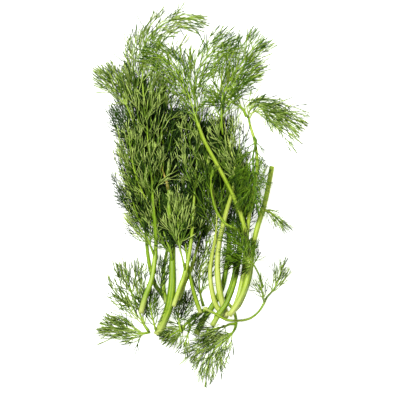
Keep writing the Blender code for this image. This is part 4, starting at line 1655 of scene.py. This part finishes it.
def lay_floor():
    """A wide white floor that glows a little, so that it stays even."""
    bpy.ops.mesh.primitive_plane_add(size=4.0, location=(0.0, 0.0, 0.0))
    floor = bpy.context.object
    floor.name = "floor"
    make = Nodes("floor_white")
    cloudy = make.noise(make.place(), 3.0)
    make.paint(make.ramp(cloudy, (0.0, 1.0), ((0.90, 0.90, 0.90), (0.94, 0.94, 0.94))))
    make.shader.inputs["Roughness"].default_value = 0.8
    make.shader.inputs["Specular IOR Level"].default_value = 0.1
    make.shader.inputs["Emission Color"].default_value = (1.0, 1.0, 1.0, 1.0)
    make.shader.inputs["Emission Strength"].default_value = 0.8
    floor.data.materials.append(make.finish)


def hang_light(name, place, size, power):
    """A square light that faces the middle of the room."""
    bpy.ops.object.light_add(type="AREA", location=place)
    lamp = bpy.context.object
    lamp.name = name
    lamp.data.shape = "SQUARE"
    lamp.data.size = size
    lamp.data.energy = power
    lamp.rotation_euler = (-Vector(place)).to_track_quat("-Z", "Y").to_euler()


def set_room():
    """A white floor, a bright light at the upper left, a weak one at the right, and a camera."""
    lay_floor()
    hang_light("key_light", (-0.7, 0.8, 1.6), size=0.4, power=60.0)
    hang_light("fill_light", (1.2, -0.5, 1.4), size=1.2, power=8.0)
    world = bpy.data.worlds.new("room")
    bpy.context.scene.world = world
    world.use_nodes = True
    sky = world.node_tree.nodes["Background"]
    sky.inputs["Color"].default_value = (1.0, 0.98, 0.86, 1.0)
    sky.inputs["Strength"].default_value = 0.18
    aside = CAMERA_ASIDE * MM + MIDDLE[0] * MM
    bpy.ops.object.camera_add(location=(aside, MIDDLE[1] * MM, CAMERA_HEIGHT * MM))
    camera = bpy.context.object
    camera.name = "camera"
    camera.data.lens = 135
    camera.data.sensor_width = 36
    camera.data.clip_start = 0.05
    bpy.context.scene.camera = camera
    bpy.context.scene.view_settings.view_transform = "Standard"


# Making the bunch


def model_shapes():
    """Each shape that is laid many times over, modelled once."""
    sprigs = [
        ("sprig_lone", -1.8, ()),
        ("sprig_early", -1.4, ((0.2, 1, 9.0, 24, 4),)),
        ("sprig_late", -1.6, ((0.42, -1, 6.8, 20, -4),)),
        ("sprig_pair", -1.5, ((0.2, 1, 8.8, 24, -5), (0.45, -1, 6.4, 20, 4))),
        ("sprig_open", -1.2, ((0.15, -1, 8.4, 24, 0), (0.3, 1, 8.0, 26, 6))),
        (
            "sprig_full",
            -1.5,
            ((0.14, 1, 8.8, 26, 4), (0.28, -1, 8.0, 22, -4), (0.5, 1, 6.0, 22, -5)),
        ),
    ]
    shapes = {
        "sprigs": [taken_off(model_sprig(*sprig, THREAD)) for sprig in sprigs],
        "painted_shade_sprigs": [taken_off(model_sprig(*sprig, DEEP_THREAD)) for sprig in sprigs],
    }
    stalk = model_stem("stalk_shape", STALK_SIDES, rings=44, groove=0.06, dished=True)
    shapes["stalk"] = taken_off(stalk)
    shapes["rachis"] = taken_off(model_stem("rachis_shape", RACHIS_SIDES, rings=30, groove=0.1))
    shapes["rib"] = taken_off(model_stem("rib_shape", sides=4, rings=6))
    return shapes


def main():
    put_down_everything()
    shapes = model_shapes()
    lay_bunch(shapes, make_finishes())
    set_room()
    bpy.context.view_layer.update()


main()
